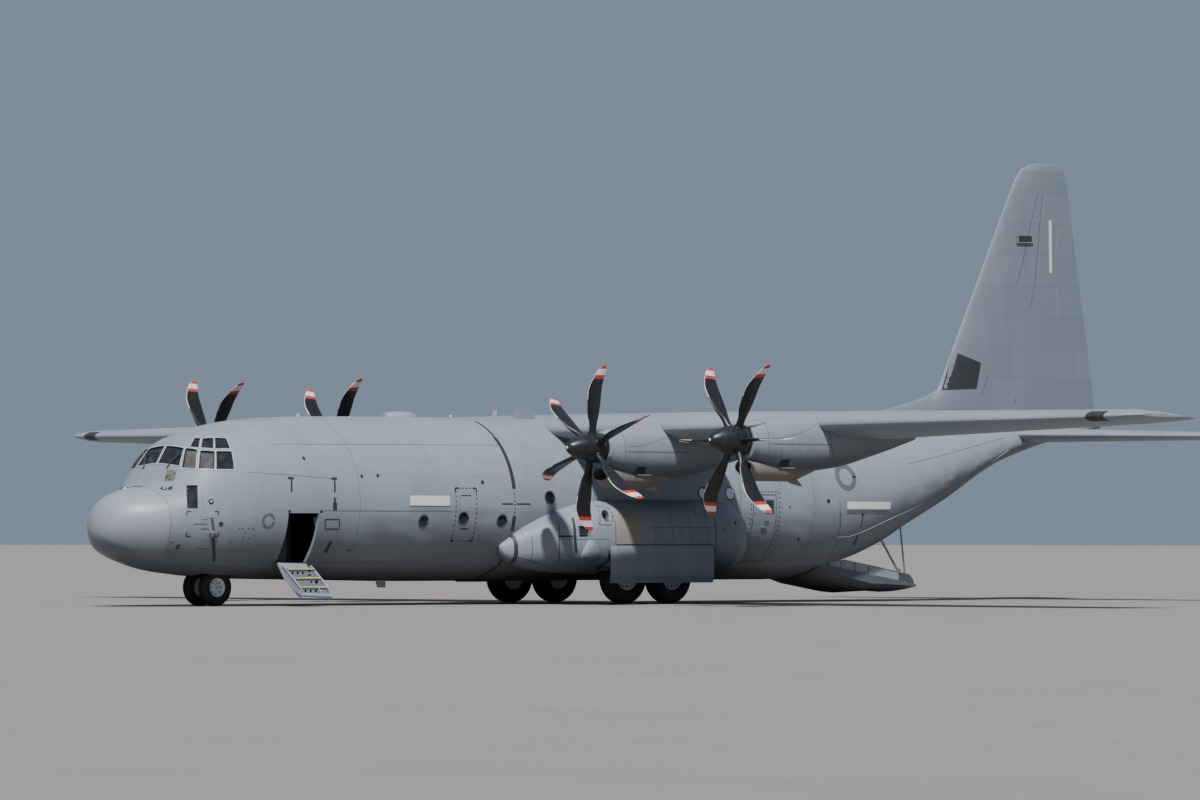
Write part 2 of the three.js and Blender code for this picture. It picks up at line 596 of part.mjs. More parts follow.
// Wing with its flaps and ailerons
const flapPart = 0.72;
const flapSpan = [2330, 12480];
const aileronSpan = [12600, 19400];
const aileronPart = 0.73;

function wingRowAt(x) {
  return x <= wingKinkX ? wingBetween(wingTable.root, wingTable.kink, x)
    : wingBetween(wingTable.kink, wingTable.tip, x);
}

// A slab behind a part of the chord, between two places along the span
function aftOfWing(side, [xa, xb], part) {
  return loft([xa, xb].map((x) => {
    const row = wingRowAt(x);
    const front = row.lead + part * row.chord;
    return [[front, 700], [front + 2500, 700], [front + 2500, -700], [front, -700]].map(([s, z]) =>
      at(side * x, s, row.z + z));
  }));
}

function wingHinge(side, x, part) {
  const row = wingRowAt(x);
  const [high, low] = [foilHeight(part, 1), foilHeight(part, 2)];
  const middle = row.z - row.drop * part + row.thickness * (high + low) / 2;
  return { point: at(side * x, row.lead + part * row.chord, middle), radius: row.thickness * (high - low) / 2 * 0.985 };
}

function buildWing() {
  const cutSpan = [flapSpan[0] - 20, flapSpan[1] + 20];
  const flapCuts = sides.map(([, side]) => joined([
    aftOfWing(side, [cutSpan[0], wingKinkX], flapPart), aftOfWing(side, [wingKinkX, cutSpan[1]], flapPart)]));
  addPart('wing_centre', without(wingCentreFull(), flapCuts), paint);
  sides.forEach(([name, side], k) => {
    const full = outerWingFull(side);
    const outline = (span, more) => [span[0] - more, span[1] + more];
    const { moving, fixed } = partSurface(full, {
      stops: aileronSpan.map((x) => wingHinge(side, x, aileronPart)),
      region: aftOfWing(side, aileronSpan, aileronPart),
      clearRegion: aftOfWing(side, outline(aileronSpan, runningGap), aileronPart),
    });
    addPart(`outer_wing_${name}`, fixed.subtract(flapCuts[k]), paint);
    addPart(`aileron_${name}`, moving, paint);
    const whole = loft(['root', 'kink', 'tip'].map((key) => wingRing(wingTable[key], side)));
    const flapFront = flapPart + seatGap / wingTable.tip.chord;
    addPart(`flap_${name}`, whole.intersect(joined([
      aftOfWing(side, [flapSpan[0], wingKinkX], flapFront), aftOfWing(side, [wingKinkX, flapSpan[1]], flapFront)])), paint);
  });
}

// Tail surfaces
const elevatorSpan = [980, 7560];
const elevatorHingeS = 31990;
const rudderSpan = [5150, 11330];
const rudderHingeS = 32730;

function stabiliserHinge(side, x) {
  const { root: inner, tip } = stabiliserTable;
  const row = wingBetween(inner, tip, x);
  const part = (elevatorHingeS - row.lead) / row.chord;
  const even = (foilHeight(part, 1) - foilHeight(part, 2)) / 2;
  return { point: at(side * x, elevatorHingeS, row.z), radius: row.thickness * even * 0.985 };
}

function finHinge(z) {
  const k = finTable.findIndex((row) => row[0] >= z);
  const [a, b] = [finTable[k - 1], finTable[k]];
  const t = (z - a[0]) / (b[0] - a[0]);
  const [, lead, chord, thickness] = a.map((value, c) => value + (b[c] - value) * t);
  const part = (rudderHingeS - lead) / chord;
  const even = (foilHeight(part, 1) - foilHeight(part, 2)) / 2;
  return { point: at(0, rudderHingeS, z), radius: thickness * even * 0.985 };
}

function buildTail() {
  let stabiliser = stabiliserFull();
  for (const [name, side] of sides) {
    const stops = elevatorSpan.map((x) => stabiliserHinge(side, x));
    const regionFor = (more) => block(
      [side * (elevatorSpan[0] - more), side * (elevatorSpan[1] + more)], [elevatorHingeS, 34300], [3900, 5000]);
    const parting = { stops, region: regionFor(0), clearRegion: regionFor(runningGap) };
    const { moving } = partSurface(stabiliserFull(), parting);
    stabiliser = partSurface(stabiliser, parting).fixed;
    addPart(`elevator_${name}`, moving, paint);
  }
  addPart('stabiliser', stabiliser, paint);

  const dorsal = loft(dorsalTable.map(([s, ridge, foot]) => [
    [0, ridge], [foot * 0.35, ridge - 60], [foot, 4200], [-foot, 4200], [-foot * 0.35, ridge - 60],
  ].map(([x, z]) => at(x, s, z))));
  const heights = [rudderSpan[0], ...finTable.map(([z]) => z).filter((z) => z > 5400 && z < 11000), rudderSpan[1]];
  const rudderRegion = (more) => block([-700, 700], [rudderHingeS, 35000], [rudderSpan[0] - more, rudderSpan[1] + more]);
  const { moving, fixed } = partSurface(finFull(), {
    stops: heights.map(finHinge), region: rudderRegion(0), clearRegion: rudderRegion(runningGap),
  });
  addPart('rudder', moving, paint);
  const finHollow = loft(finHollowTable.map(([z, fore, aft, halfWidth]) => [
    at(halfWidth, fore, z), at(halfWidth, aft, z), at(-halfWidth, aft, z), at(-halfWidth, fore, z)]));
  addPart('fin', without(fixed.add(dorsal), [finHollow, hull(23100, tailEnd, -seatGap)]), paint);
}

// Engines: nacelle, chin scoop, the engine's block with its shaft, and the propeller
const nacelleTable = [
  // station, top and bottom from the shaft line, half width
  [11690, 385, -475, 420], [12200, 505, -630, 520], [13400, 625, -745, 590], [14600, 640, -640, 580],
  [15900, 460, -340, 470], [17300, 300, 40, 200],
];
const scoopTable = [
  [11710, -465, -780, 300], [11960, -430, -970, 335], [13100, -420, -980, 320], [13900, -460, -760, 200],
];
const nacelleWall = 45;
const nacelleHollowEnd = 14700;
const shaftHoleReach = { fore: 100, aft: 300 };
const nacelleCornerPower = 2.3;
const podSides = 14;
const hollowSides = 8;
const engineBlock = { s: [12350, 14250], halfWidth: 300, z: [-720, 60] };
const spinnerProfile = [
  [0, 0], [45, 95], [160, 180], [360, 270], [660, 345], [1030, 375],
];
const spinnerTip = 10610;
const bladeTable = [
  // radius, chord, thickness, chord line's offset aft, pitch in degrees
  [280, 190, 176, 0, 96], [520, 200, 150, 0, 94], [850, 370, 88, -35, 91], [1400, 460, 46, -60, 87],
  [1850, 340, 24, 90, 82], [2035, 150, 13, 250, 80],
];
const bladeSides = 6;

function podRing(x, shaftZ, [s, top, bottom, halfWidth], inset, count) {
  const middle = (top + bottom) / 2;
  const half = (top - bottom) / 2 - inset;
  return Array.from({ length: count }, (_, k) => {
    const angle = (2 * Math.PI * k) / count;
    const [c, d] = [Math.cos(angle), Math.sin(angle)];
    const round = (value) => Math.sign(value) * Math.abs(value) ** (2 / nacelleCornerPower);
    return at(x + (halfWidth - inset) * round(c), s, shaftZ + middle + half * round(d));
  });
}

function bladeRing([radius, chord, thickness, offset, pitch], count) {
  const turn = radians(pitch);
  return Array.from({ length: count }, (_, k) => {
    const angle = (2 * Math.PI * k) / count;
    const along = offset + chord / 2 * Math.cos(angle);
    const across = thickness / 2 * Math.sin(angle);
    return new THREE.Vector3(
      radius, along * Math.sin(turn) + across * Math.cos(turn), along * Math.cos(turn) - across * Math.sin(turn));
  });
}

function buildPropeller({ name, x, z, turn }) {
  const spinner = turned([...spinnerProfile, [spinnerProfile.at(-1)[0], 0]], at(x, spinnerTip, z), alongY, 16);
  const blades = Array.from({ length: 6 }, (_, k) => {
    const spin = new THREE.Matrix4().makeRotationY(-radians(turn + 60 * k));
    return loft(bladeTable.map((row) => bladeRing(row, bladeSides).map((point) =>
      point.applyMatrix4(spin).add(at(x, propPlane, z)))));
  });
  addPart(`propeller_${name}`, joined([spinner, ...blades]), black);
}

function buildEngine(engine) {
  const { name, x, z } = engine;
  const cut = (table, inset, from, to) => loft(
    [from, ...table.map((row) => row[0]).filter((s) => s > from && s < to), to].map((s) =>
      podRing(x, z, between(table, s), inset, inset > 0 ? hollowSides : podSides)));
  const outer = cut(nacelleTable, 0, nacelleTable[0][0], nacelleTable.at(-1)[0]);
  const scoop = cut(scoopTable, 0, scoopTable[0][0], scoopTable.at(-1)[0]);
  const duct = loft([[scoopTable[0][0] - 40, 0], [12500, 30]].map(([s, more]) =>
    podRing(x, z, [s, ...between(scoopTable, Math.max(s, scoopTable[0][0])).slice(1)], 42 + more, hollowSides)));
  const inner = cut(nacelleTable, nacelleWall, nacelleTable[0][0] + nacelleWall, nacelleHollowEnd);
  const shaftRadius = 95;
  const nacelleFront = nacelleTable[0][0];
  const shaftHole = bar(at(x, nacelleFront - shaftHoleReach.fore, z),
    at(x, nacelleFront + shaftHoleReach.aft, z), shaftRadius + 35);
  const wing = Math.abs(x) < wingKinkX ? wingCentreFull(seatGap) : outerWingGrown(Math.sign(x));
  addPart(`nacelle_${name}`, without(joined([outer, scoop]), [inner, duct, shaftHole, wing]), paint);

  const { s, halfWidth, z: [low, high] } = engineBlock;
  const body = block([x - halfWidth, x + halfWidth], s, [z + low, z + high]);
  const spinnerEnd = spinnerTip + spinnerProfile.at(-1)[0];
  const shaft = bar(at(x, spinnerEnd + seatGap, z), at(x, s[0] + 100, z), shaftRadius);
  const seated = body.intersect(cut(nacelleTable, nacelleWall + seatGap, nacelleTable[0][0] + nacelleWall, nacelleHollowEnd));
  addPart(`engine_${name}`, seated.add(shaft), steel);
}

function outerWingGrown(side) {
  return loft(['kink', 'tip'].map((key) => wingRing(wingTable[key], side, seatGap)));
}

// Sponsons with the main wheels' bays
const sponsonTable = [
  // station, top, bottom, outer half width
  [11060, 1460, 1360, 1950], [11120, 1530, 1210, 2030], [11250, 1630, 1080, 2130], [11500, 1825, 960, 2290],
  [11900, 2035, 870, 2500], [12400, 2240, 810, 2710], [13000, 2425, 775, 2880], [13600, 2555, 755, 2970],
  [14200, 2610, 745, 2985], [17400, 2620, 745, 2985], [18250, 2570, 790, 2910], [18700, 2360, 1000, 2720],
  [18900, 2050, 1300, 2480],
];

function sponsonRing(side, s) {
  const [, top, bottom, outer] = between(sponsonTable, s);
  const inner = 1850;
  const [middle, half] = [(top + bottom) / 2, (top - bottom) / 2];
  const steps = 10;
  const port = Array.from({ length: steps + 1 }, (_, k) => {
    const angle = Math.PI / 2 - (Math.PI * k) / steps;
    const flat = Math.sign(Math.sin(angle)) * Math.abs(Math.sin(angle)) ** (2 / 2.6);
    return [inner + (outer - inner) * Math.max(Math.cos(angle), 0) ** (2 / 2.6), middle + half * flat];
  });
  return [...port, [1480, bottom], [1480, top]].map(([x, z]) => at(side * x, s, z));
}

function buildSponson(name, side) {
  const full = loft(sponsonTable.map(([s]) => sponsonRing(side, s)));
  const [s0, s1] = wheelBay.s;
  const { x: [x0, x1], roof, sideSkinLow } = wheelBay;
  const bay = block([side * (x0 - 200), side * x1], [s0, s1], [-100, roof]);
  const sideOpening = block([side * (x1 - 200), side * 3200], [s0, s1 - 120], [-100, sideSkinLow]);
  addPart(`sponson_${name}`, without(full, [bay, sideOpening, hull(9400, 21600, -seatGap)]), paint);
  const door = plateAlong([
    [2925, sideSkinLow - seatGap], [2982, sideSkinLow - seatGap], [3030, 1150], [3025, 800], [2980, 530],
    [2930, 530], [2972, 800], [2976, 1150],
  ].map(([x, z]) => [side * x, z]), s0 + 10, s1 - 130);
  addPart(`main_gear_door_${name}`, door, paint);
}

// Wheels and legs
const tyreProfile = (radius, rim, halfWidth) => [
  [-0.8 * halfWidth, rim], [-halfWidth, rim + 0.45 * (radius - rim)], [-0.88 * halfWidth, rim + 0.88 * (radius - rim)],
  [-0.6 * halfWidth, radius], [0.6 * halfWidth, radius], [0.88 * halfWidth, rim + 0.88 * (radius - rim)],
  [halfWidth, rim + 0.45 * (radius - rim)], [0.8 * halfWidth, rim], [-0.8 * halfWidth, rim],
];
const rimProfile = (rim, bore, halfWidth) => [
  [-0.5 * halfWidth, bore], [-0.5 * halfWidth, 0.55 * rim], [-0.78 * halfWidth, rim], [0.78 * halfWidth, rim],
  [0.25 * halfWidth, 0.62 * rim], [0.6 * halfWidth, 0.36 * rim], [0.6 * halfWidth, bore], [-0.5 * halfWidth, bore],
];
const wheelSegments = 20;
const axleRadius = 60;
const noseAxleRadius = 42;
const boreOver = 1.025;

function buildMainGear(name, side) {
  const { x, radius, halfWidth, rimRadius, stations } = mainWheel;
  const strutX = side * 1790;
  const out = new THREE.Vector3(side, 0, 0);
  stations.forEach((s, k) => {
    const place = k === 0 ? 'fore' : 'aft';
    const centre = at(side * x, s, radius);
    addPart(`main_tyre_${name}_${place}`, turned(tyreProfile(radius, rimRadius, halfWidth), centre, out, wheelSegments), rubber);
    addPart(`main_rim_${name}_${place}`,
      turned(rimProfile(rimRadius - seatGap, axleRadius * boreOver, halfWidth), centre, out, wheelSegments), steel);
  });
  const top = wheelBay.roof + 50 - seatGap;
  addPart(`main_gear_leg_${name}`, joined([
    ...stations.map((s) => bar(at(strutX, s, radius), at(strutX, s, top), 88)),
    ...stations.map((s) => bar(at(strutX - side * 60, s, radius), at(side * (x + 165), s, radius), axleRadius, axleRadius, wheelSegments)),
    bar(at(strutX, stations[0], radius + 260), at(strutX, stations[1], radius + 260), 55),
  ]), steel);
}

function buildNoseGear() {
  const { x, radius, halfWidth, rimRadius, station } = noseWheel;
  const sleeveEnd = 960;
  const top = noseBay.roof - noseBay.wall - seatGap;
  addPart('nose_gear_leg', joined([
    bar(at(0, station, sleeveEnd), at(0, station, top), 88),
    bar(at(0, station, 1060), at(0, station - 520, top - 40), 42),
    block([-120, 120], [station - 600, station - 440], [top - 90, top]),
  ]), steel);
  addPart('nose_steering_fork', joined([
    bar(at(0, station, radius), at(0, station, sleeveEnd - seatGap), 66),
    bar(at(-x - 90, station, radius), at(x + 90, station, radius), noseAxleRadius, noseAxleRadius, wheelSegments),
  ]), steel);
  for (const [name, side] of sides) {
    const centre = at(side * x, station, radius);
    const out = new THREE.Vector3(side, 0, 0);
    const tyre = turned(tyreProfile(radius, rimRadius - 4, halfWidth), centre, out, wheelSegments);
    const rim = turned(rimProfile(rimRadius, noseAxleRadius * boreOver, halfWidth), centre, out, wheelSegments);
    addPart(`nose_wheel_${name}`, tyre.add(rim), rubber);
  }
}

buildFuselage();
buildInside();
buildCrewDoor();
buildRampAndDoor();
buildWing();
buildTail();
for (const engine of engineTable) {
  buildEngine(engine);
  buildPropeller(engine);
}
for (const [name, side] of sides) {
  buildSponson(name, side);
  buildMainGear(name, side);
}
buildNoseGear();

export default root;
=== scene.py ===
"""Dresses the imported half-scale transport plane: smooth skins, windows, trim and finishes on the frame.

Lengths in the tables are full-size metres, with the station measured aft from the nose, and at() takes them
to the frame. A side is 1 for port and -1 for starboard.
"""

import math

import bmesh
import bpy
from mathutils import Matrix, Vector
from mathutils.bvhtree import BVHTree


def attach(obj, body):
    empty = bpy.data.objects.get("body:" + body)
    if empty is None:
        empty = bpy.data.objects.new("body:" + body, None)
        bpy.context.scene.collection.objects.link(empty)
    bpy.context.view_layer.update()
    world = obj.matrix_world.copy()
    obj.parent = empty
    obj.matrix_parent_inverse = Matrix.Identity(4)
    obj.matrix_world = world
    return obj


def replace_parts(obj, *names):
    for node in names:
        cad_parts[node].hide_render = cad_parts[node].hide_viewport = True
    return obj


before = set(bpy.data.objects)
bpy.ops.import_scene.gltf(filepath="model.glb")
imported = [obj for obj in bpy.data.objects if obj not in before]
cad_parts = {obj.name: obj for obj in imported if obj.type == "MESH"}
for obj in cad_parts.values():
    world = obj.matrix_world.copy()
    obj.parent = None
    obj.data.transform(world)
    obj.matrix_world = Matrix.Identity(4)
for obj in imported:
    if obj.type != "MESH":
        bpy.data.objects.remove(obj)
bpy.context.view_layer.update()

MODEL_SCALE = 0.5
MIDDLE_STATION = 17.185
SIDES = (("port", 1), ("starboard", -1))
HAIR = 0.003  # how far thin trim stands proud of what carries it
SUNK = -0.001  # where it starts, just inside
AFT, UP = (0, 1, 0), (0, 0, 1)


def at(x, s, z):
    return Vector((x * MODEL_SCALE, (s - MIDDLE_STATION) * MODEL_SCALE, z * MODEL_SCALE))


def between(table, s):
    """Smooth values between the rows of a table, without overshoot; its first column is the place."""
    last = len(table) - 1
    if s <= table[0][0]:
        return list(table[0])
    if s >= table[last][0]:
        return list(table[last])
    i = max(k for k in range(last) if table[k][0] <= s)

    def slope(k, c):
        return (table[k + 1][c] - table[k][c]) / (table[k + 1][0] - table[k][0])

    def tangent(k, c):
        if k in (0, last):
            return slope(0 if k == 0 else last - 1, c)
        before, after = slope(k - 1, c), slope(k, c)
        return 2 * before * after / (before + after) if before * after > 0 else 0

    width = table[i + 1][0] - table[i][0]
    t = (s - table[i][0]) / width
    row = [s]
    for c in range(1, len(table[i])):
        step = table[i + 1][c] - table[i][c]
        start, end = tangent(i, c) * width - step, tangent(i + 1, c) * width - step
        bend = t * (1 - t) * ((1 - t) * start - t * end)
        row.append(table[i][c] + step * t + bend)
    return row


def spread(start, end, step):
    """Even places from start to end, no further apart than step."""
    count = max(1, math.ceil((end - start) / step - 1e-6))
    return [start + (end - start) * k / count for k in range(count + 1)]


# Meshes: new objects from points, lofts of rings, and cuts

def outward_mesh(name, points, faces, weld=0.0):
    """A mesh with its faces turned outwards, and with points nearer than weld joined."""
    mesh = bpy.data.meshes.new(name)
    mesh.from_pydata([tuple(p) for p in points], [], faces)
    made = bmesh.new()
    made.from_mesh(mesh)
    if weld:
        bmesh.ops.remove_doubles(made, verts=made.verts, dist=weld)
    bmesh.ops.recalc_face_normals(made, faces=made.faces)
    made.to_mesh(mesh)
    made.free()
    return mesh


def linked(name, data):
    obj = bpy.data.objects.new(name, data)
    bpy.context.scene.collection.objects.link(obj)
    return obj


def piece(name, points, faces, material, body="airframe", smooth_angle=40):
    mesh = outward_mesh(name, points, faces, 1e-6)
    mesh.materials.append(material)
    obj = linked(name, mesh)
    soften(obj, smooth_angle)
    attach(obj, body)
    return obj


def soften(obj, angle):
    obj.data.polygons.foreach_set("use_smooth", [angle > 0] * len(obj.data.polygons))
    if angle > 0:
        obj.data.set_sharp_from_angle(angle=math.radians(angle))


def skin_of(rings, caps=True, closed=True):
    """Points and faces over a row of rings with equal counts."""
    count = len(rings[0])
    points = [p for ring in rings for p in ring]
    faces = []
    spans = count if closed else count - 1
    for i in range(len(rings) - 1):
        for k in range(spans):
            a, b = i * count + k, i * count + (k + 1) % count
            faces.append((a, b, b + count, a + count))
    if caps and closed:
        faces.append(tuple(range(count))[::-1])
        faces.append(tuple((len(rings) - 1) * count + k for k in range(count)))
    return points, faces


def several(parts):
    """One list of points and faces from several."""
    points, faces = [], []
    for more_points, more_faces in parts:
        start = len(points)
        points += list(more_points)
        faces += [tuple(k + start for k in face) for face in more_faces]
    return points, faces


def box_shape(x, s, z):
    corners = [at(a, b, c) for c in z for b in s for a in x]
    return corners, [(0, 2, 3, 1), (4, 5, 7, 6), (0, 1, 5, 4), (2, 6, 7, 3), (0, 4, 6, 2), (1, 3, 7, 5)]


def frame_along(direction):
    along = Vector(direction).normalized()
    across = along.cross(Vector((0, 0, 1)) if abs(along.z) < 0.9 else Vector((0, 1, 0))).normalized()
    return along, across, along.cross(across)


def turns(count, more=0):
    """Angles in even steps round a circle, and as many more past the full turn."""
    return [2 * math.pi * k / count for k in range(count + more)]


def circle(centre, u, v, radius, sides):
    return [centre + (u * math.cos(a) + v * math.sin(a)) * radius * MODEL_SCALE for a in turns(sides)]


def bar_shape(path, radius, sides=12):
    """A round bar through the points of a path; radius is one number or one for each point."""
    path = [Vector(p) for p in path]
    radii = radius if isinstance(radius, list) else [radius] * len(path)
    rings = []
    for k, p in enumerate(path):
        _, u, v = frame_along(path[min(k + 1, len(path) - 1)] - path[max(k - 1, 0)])
        rings.append(circle(p, u, v, radii[k], sides))
    return skin_of(rings)


def turned_shape(profile, centre, direction, sides=48):
    """A profile of (distance along, radius) turned about an axis; it closes on the axis or on itself."""
    along, u, v = frame_along(direction)
    return skin_of([circle(centre + along * distance * MODEL_SCALE, u, v, radius, sides)
                    for distance, radius in profile], caps=False)


def prism(outline, push, start=(0, 0, 0)):
    """A closed shape over a flat outline of points, between two shifts of it."""
    return skin_of([[p + Vector(shift) for p in outline] for shift in (start, push)])


def drum(start, end, radius):
    """The profile of a short cylinder for turned_shape."""
    return [(start, 0), (start, radius), (end, radius), (end, 0)]


def shrunk(span, by):
    return span[0] + by, span[1] - by


def along_line(a, b, parts):
    """Spots at parts of the way from one spot to another."""
    return [tuple(p + (q - p) * t for p, q in zip(a, b)) for t in parts]


def cut(obj, shapes):
    """Takes closed shapes out of a piece, for good."""
    cutter = linked("cutter", outward_mesh("cutter", *several(shapes)))
    modifier = obj.modifiers.new("cut", "BOOLEAN")
    modifier.operation, modifier.solver, modifier.object = "DIFFERENCE", "EXACT", cutter
    modifier.use_self = True
    bake(obj)
    bpy.data.objects.remove(cutter)


def bake(obj):
    """Applies a piece's modifiers."""
    seen = obj.evaluated_get(bpy.context.evaluated_depsgraph_get())
    mesh = bpy.data.meshes.new_from_object(seen)
    obj.modifiers.clear()
    old, obj.data = obj.data, mesh
    bpy.data.meshes.remove(old)


# Materials

def paint_nodes(name):
    material = bpy.data.materials.new(name)
    material.use_nodes = True
    tree = material.node_tree
    return material, tree, tree.nodes["Principled BSDF"]


def node(tree, kind, inputs=None, **settings):
    made = tree.nodes.new(kind)
    for key, value in settings.items():
        setattr(made, key, value)
    for key, value in (inputs or {}).items():
        if isinstance(value, bpy.types.NodeSocket):
            tree.links.new(value, made.inputs[key])
        else:
            made.inputs[key].default_value = value
    return made


def maths(tree, operation, a, b=0.0):
    return node(tree, "ShaderNodeMath", {0: a, 1: b}, operation=operation).outputs[0]


def mixed(tree, share, a, b):
    return node(tree, "ShaderNodeMix", {0: share, 6: a, 7: b}, data_type="RGBA", blend_type="MIX").outputs[2]


def ramp(tree, value, low, high, top=1.0):
    """Nothing where a value is low, rising to top where it is high."""
    made = node(tree, "ShaderNodeValToRGB", {0: value})
    for element, place, level in zip(made.color_ramp.elements, (low, high), (0.0, top)):
        element.position = place
        element.color = (level, level, level, 1)
    return made.outputs[0]


def noise(tree, place, scale, detail, rough=0.6):
    return node(tree, "ShaderNodeTexNoise", {"Vector": place, "Scale": scale, "Detail": detail,
                                             "Roughness": rough}).outputs["Fac"]


def tinted(colour, factor):
    return tuple(min(1.0, c * factor) for c in colour) + (1,)


def dress(tree, shader, base, grain, roughness, swing, height, strength, distance):
    """Gives a shader its colour, a roughness that swings with a grain, and a bump."""
    rough = maths(tree, "ADD", maths(tree, "MULTIPLY", grain, 2 * swing), roughness - swing)
    bump = node(tree, "ShaderNodeBump", {"Strength": strength, "Distance": distance, "Height": height})
    for key, value in (("Base Color", base), ("Roughness", rough), ("Normal", bump.outputs[0])):
        tree.links.new(value, shader.inputs[key])


# Riveted panels, at model scale
SEAM_GAP, RIVET_BAND, RIVETS_PER_METRE, RIVET_SIZE = 0.0028, 0.016, 38.0, 0.13
GIRTH_RADIUS = 1.08  # turns an angle round the fuselage into a length on its skin


def aircraft_paint(name, colour, panel=(1.3, 0.7), line=0.35, wrap=None, roughness=0.5, grime=0.25, tone=0.05,
                   belly=0.0):
    """Matt paint over riveted panels. panel is a panel's length and width in full-size metres; wrap is the
    height of the axis that the panels run round, "side" where they stand upright, or None where they lie
    flat. belly is how much painted shade darkens the faces that look down."""
    material, tree, shader = paint_nodes(name)
    place = node(tree, "ShaderNodeTexCoord").outputs["Object"]
    x, y, z = node(tree, "ShaderNodeSeparateXYZ", {0: place}).outputs
    if wrap is None:
        girth = x
    elif wrap == "side":
        girth = z
    else:
        above = maths(tree, "SUBTRACT", z, wrap * MODEL_SCALE)
        angle = maths(tree, "ARCTAN2", maths(tree, "ABSOLUTE", x), above)
        girth = maths(tree, "MULTIPLY", angle, GIRTH_RADIUS)
    flat = node(tree, "ShaderNodeCombineXYZ", {0: y, 1: girth, 2: 0.0}).outputs[0]

    def sheets(gap, soft):
        return node(tree, "ShaderNodeTexBrick", {
            "Vector": flat, "Scale": 1.0, "Mortar Size": gap, "Mortar Smooth": soft, "Bias": 0.0,
            "Brick Width": panel[0] * MODEL_SCALE, "Row Height": panel[1] * MODEL_SCALE,
            "Color1": (0.42, 0.42, 0.42, 1), "Color2": (0.58, 0.58, 0.58, 1), "Mortar": (0.5, 0.5, 0.5, 1),
        }, offset=0.5, squash=1.0).outputs

    panels, rivet_rows = sheets(SEAM_GAP, 0.3), sheets(RIVET_BAND, 0.0)["Fac"]
    seams = panels["Fac"]
    dots = node(tree, "ShaderNodeTexVoronoi", {"Vector": flat, "Scale": RIVETS_PER_METRE, "Randomness": 0.0},
                feature="F1", voronoi_dimensions="2D").outputs["Distance"]
    rivets = maths(tree, "MULTIPLY", maths(tree, "LESS_THAN", dots, RIVET_SIZE), rivet_rows)
    streaked = node(tree, "ShaderNodeMapping", {"Vector": place, "Scale": (1.6, 1.6, 0.35)}).outputs[0]
    cloud, grain = noise(tree, streaked, 1.4, 6.0, 0.62), noise(tree, place, 26.0, 4.0)
    tones = ramp(tree, panels["Color"], 0.4, 0.6)
    base = mixed(tree, tones, tinted(colour, 1 + tone), tinted(colour, 1 - tone))
    layers = [
        # where the layer shows, how strongly, its tint
        (ramp(tree, cloud, 0.42, 0.75), grime, 0.62), (ramp(tree, grain, 0.45, 0.7), 0.12, 1.35),
        (seams, line, 0.3), (rivets, line * 0.6, 0.45),
    ]
    # painted shade: the faces that look down are darkened, standing in for the shade under the hull and pods
    if belly:
        normal = node(tree, "ShaderNodeNewGeometry").outputs["Normal"]
        rise = node(tree, "ShaderNodeSeparateXYZ", {0: normal}).outputs[2]
        layers.append((ramp(tree, maths(tree, "MULTIPLY", rise, -1.0), 0.0, 0.7), belly, 0.12))
    for where, strength, tint in layers:
        base = mixed(tree, maths(tree, "MULTIPLY", where, strength), base, tinted(colour, tint))
    height = maths(tree, "SUBTRACT", maths(tree, "MULTIPLY", rivets, 0.35), seams)
    dress(tree, shader, base, grain, roughness, 0.08, height, 0.35, 0.0015)
    shader.inputs["Specular IOR Level"].default_value = 0.35
    return material


def plain_finish(name, colour, roughness=0.5, metallic=0.0, vary=0.18, scale=30.0, bump=0.0006):
    """A finish of one colour with the small unevenness that a real surface has."""
    material, tree, shader = paint_nodes(name)
    grain = noise(tree, node(tree, "ShaderNodeTexCoord").outputs["Object"], scale, 5.0)
    base = mixed(tree, ramp(tree, grain, 0.3, 0.7), tinted(colour, 1 - vary), tinted(colour, 1 + vary))
    dress(tree, shader, base, grain, roughness, 0.12, grain, 0.4, bump)
    shader.inputs["Metallic"].default_value = metallic
    return material


def glazing(name, colour, alpha):
    """Glass with a faint dusty smear."""
    material, tree, shader = paint_nodes(name)
    smear = noise(tree, node(tree, "ShaderNodeTexCoord").outputs["Object"], 9.0, 4.0, 0.5)
    dusty = tuple(c + 0.08 for c in colour) + (1,)
    base = mixed(tree, ramp(tree, smear, 0.45, 0.8, 0.6), colour + (1,), dusty)
    tree.links.new(base, shader.inputs["Base Color"])
    tree.links.new(maths(tree, "MULTIPLY", smear, 0.12), shader.inputs["Roughness"])
    shader.inputs["Alpha"].default_value = alpha
    shader.inputs["Specular IOR Level"].default_value = 0.8
    return material


GREY = (0.218, 0.246, 0.288)
# belly=0.6 on the skin, radome and pods paints shade on the faces that look down
skin_paint = aircraft_paint("skin_paint", GREY, (1.52, 0.9), wrap=2.49, belly=0.6)
radome_paint = aircraft_paint("radome_paint", (0.245, 0.27, 0.305), (9.0, 9.0), line=0.0, wrap=2.2,
                              roughness=0.42, tone=0.01, belly=0.6)
wing_paint = aircraft_paint("wing_paint", GREY, (1.1, 1.9))
# painted shade: the ramp's grey is darkened to near black for the shade it lies in under the hull
ramp_shade_paint = aircraft_paint("ramp_shade_paint", (0.085, 0.095, 0.11), (1.2, 0.6), wrap="side", grime=0.5)
pod_paint = aircraft_paint("pod_paint", GREY, (1.25, 0.62), wrap="side", grime=0.4, belly=0.6)
fin_paint = aircraft_paint("fin_paint", (0.165, 0.19, 0.225), (1.35, 0.85), wrap="side")
inside_paint = plain_finish("inside_paint", (0.30, 0.32, 0.30), 0.6, scale=6.0)
bay_paint = plain_finish("bay_paint", (0.33, 0.34, 0.34), 0.6, scale=8.0, vary=0.3)
dark_mark = plain_finish("dark_mark", (0.022, 0.024, 0.028), 0.6, scale=18.0)
mid_mark = plain_finish("mid_mark", (0.09, 0.10, 0.115), 0.6, scale=18.0)
pale_strip = plain_finish("pale_strip", (0.62, 0.64, 0.60), 0.45, scale=10.0, vary=0.06)
frame_paint = plain_finish("frame_paint", (0.36, 0.38, 0.41), 0.45, scale=22.0, vary=0.1)
bare_metal = plain_finish("bare_metal", (0.55, 0.56, 0.57), 0.34, metallic=0.9, scale=40.0)
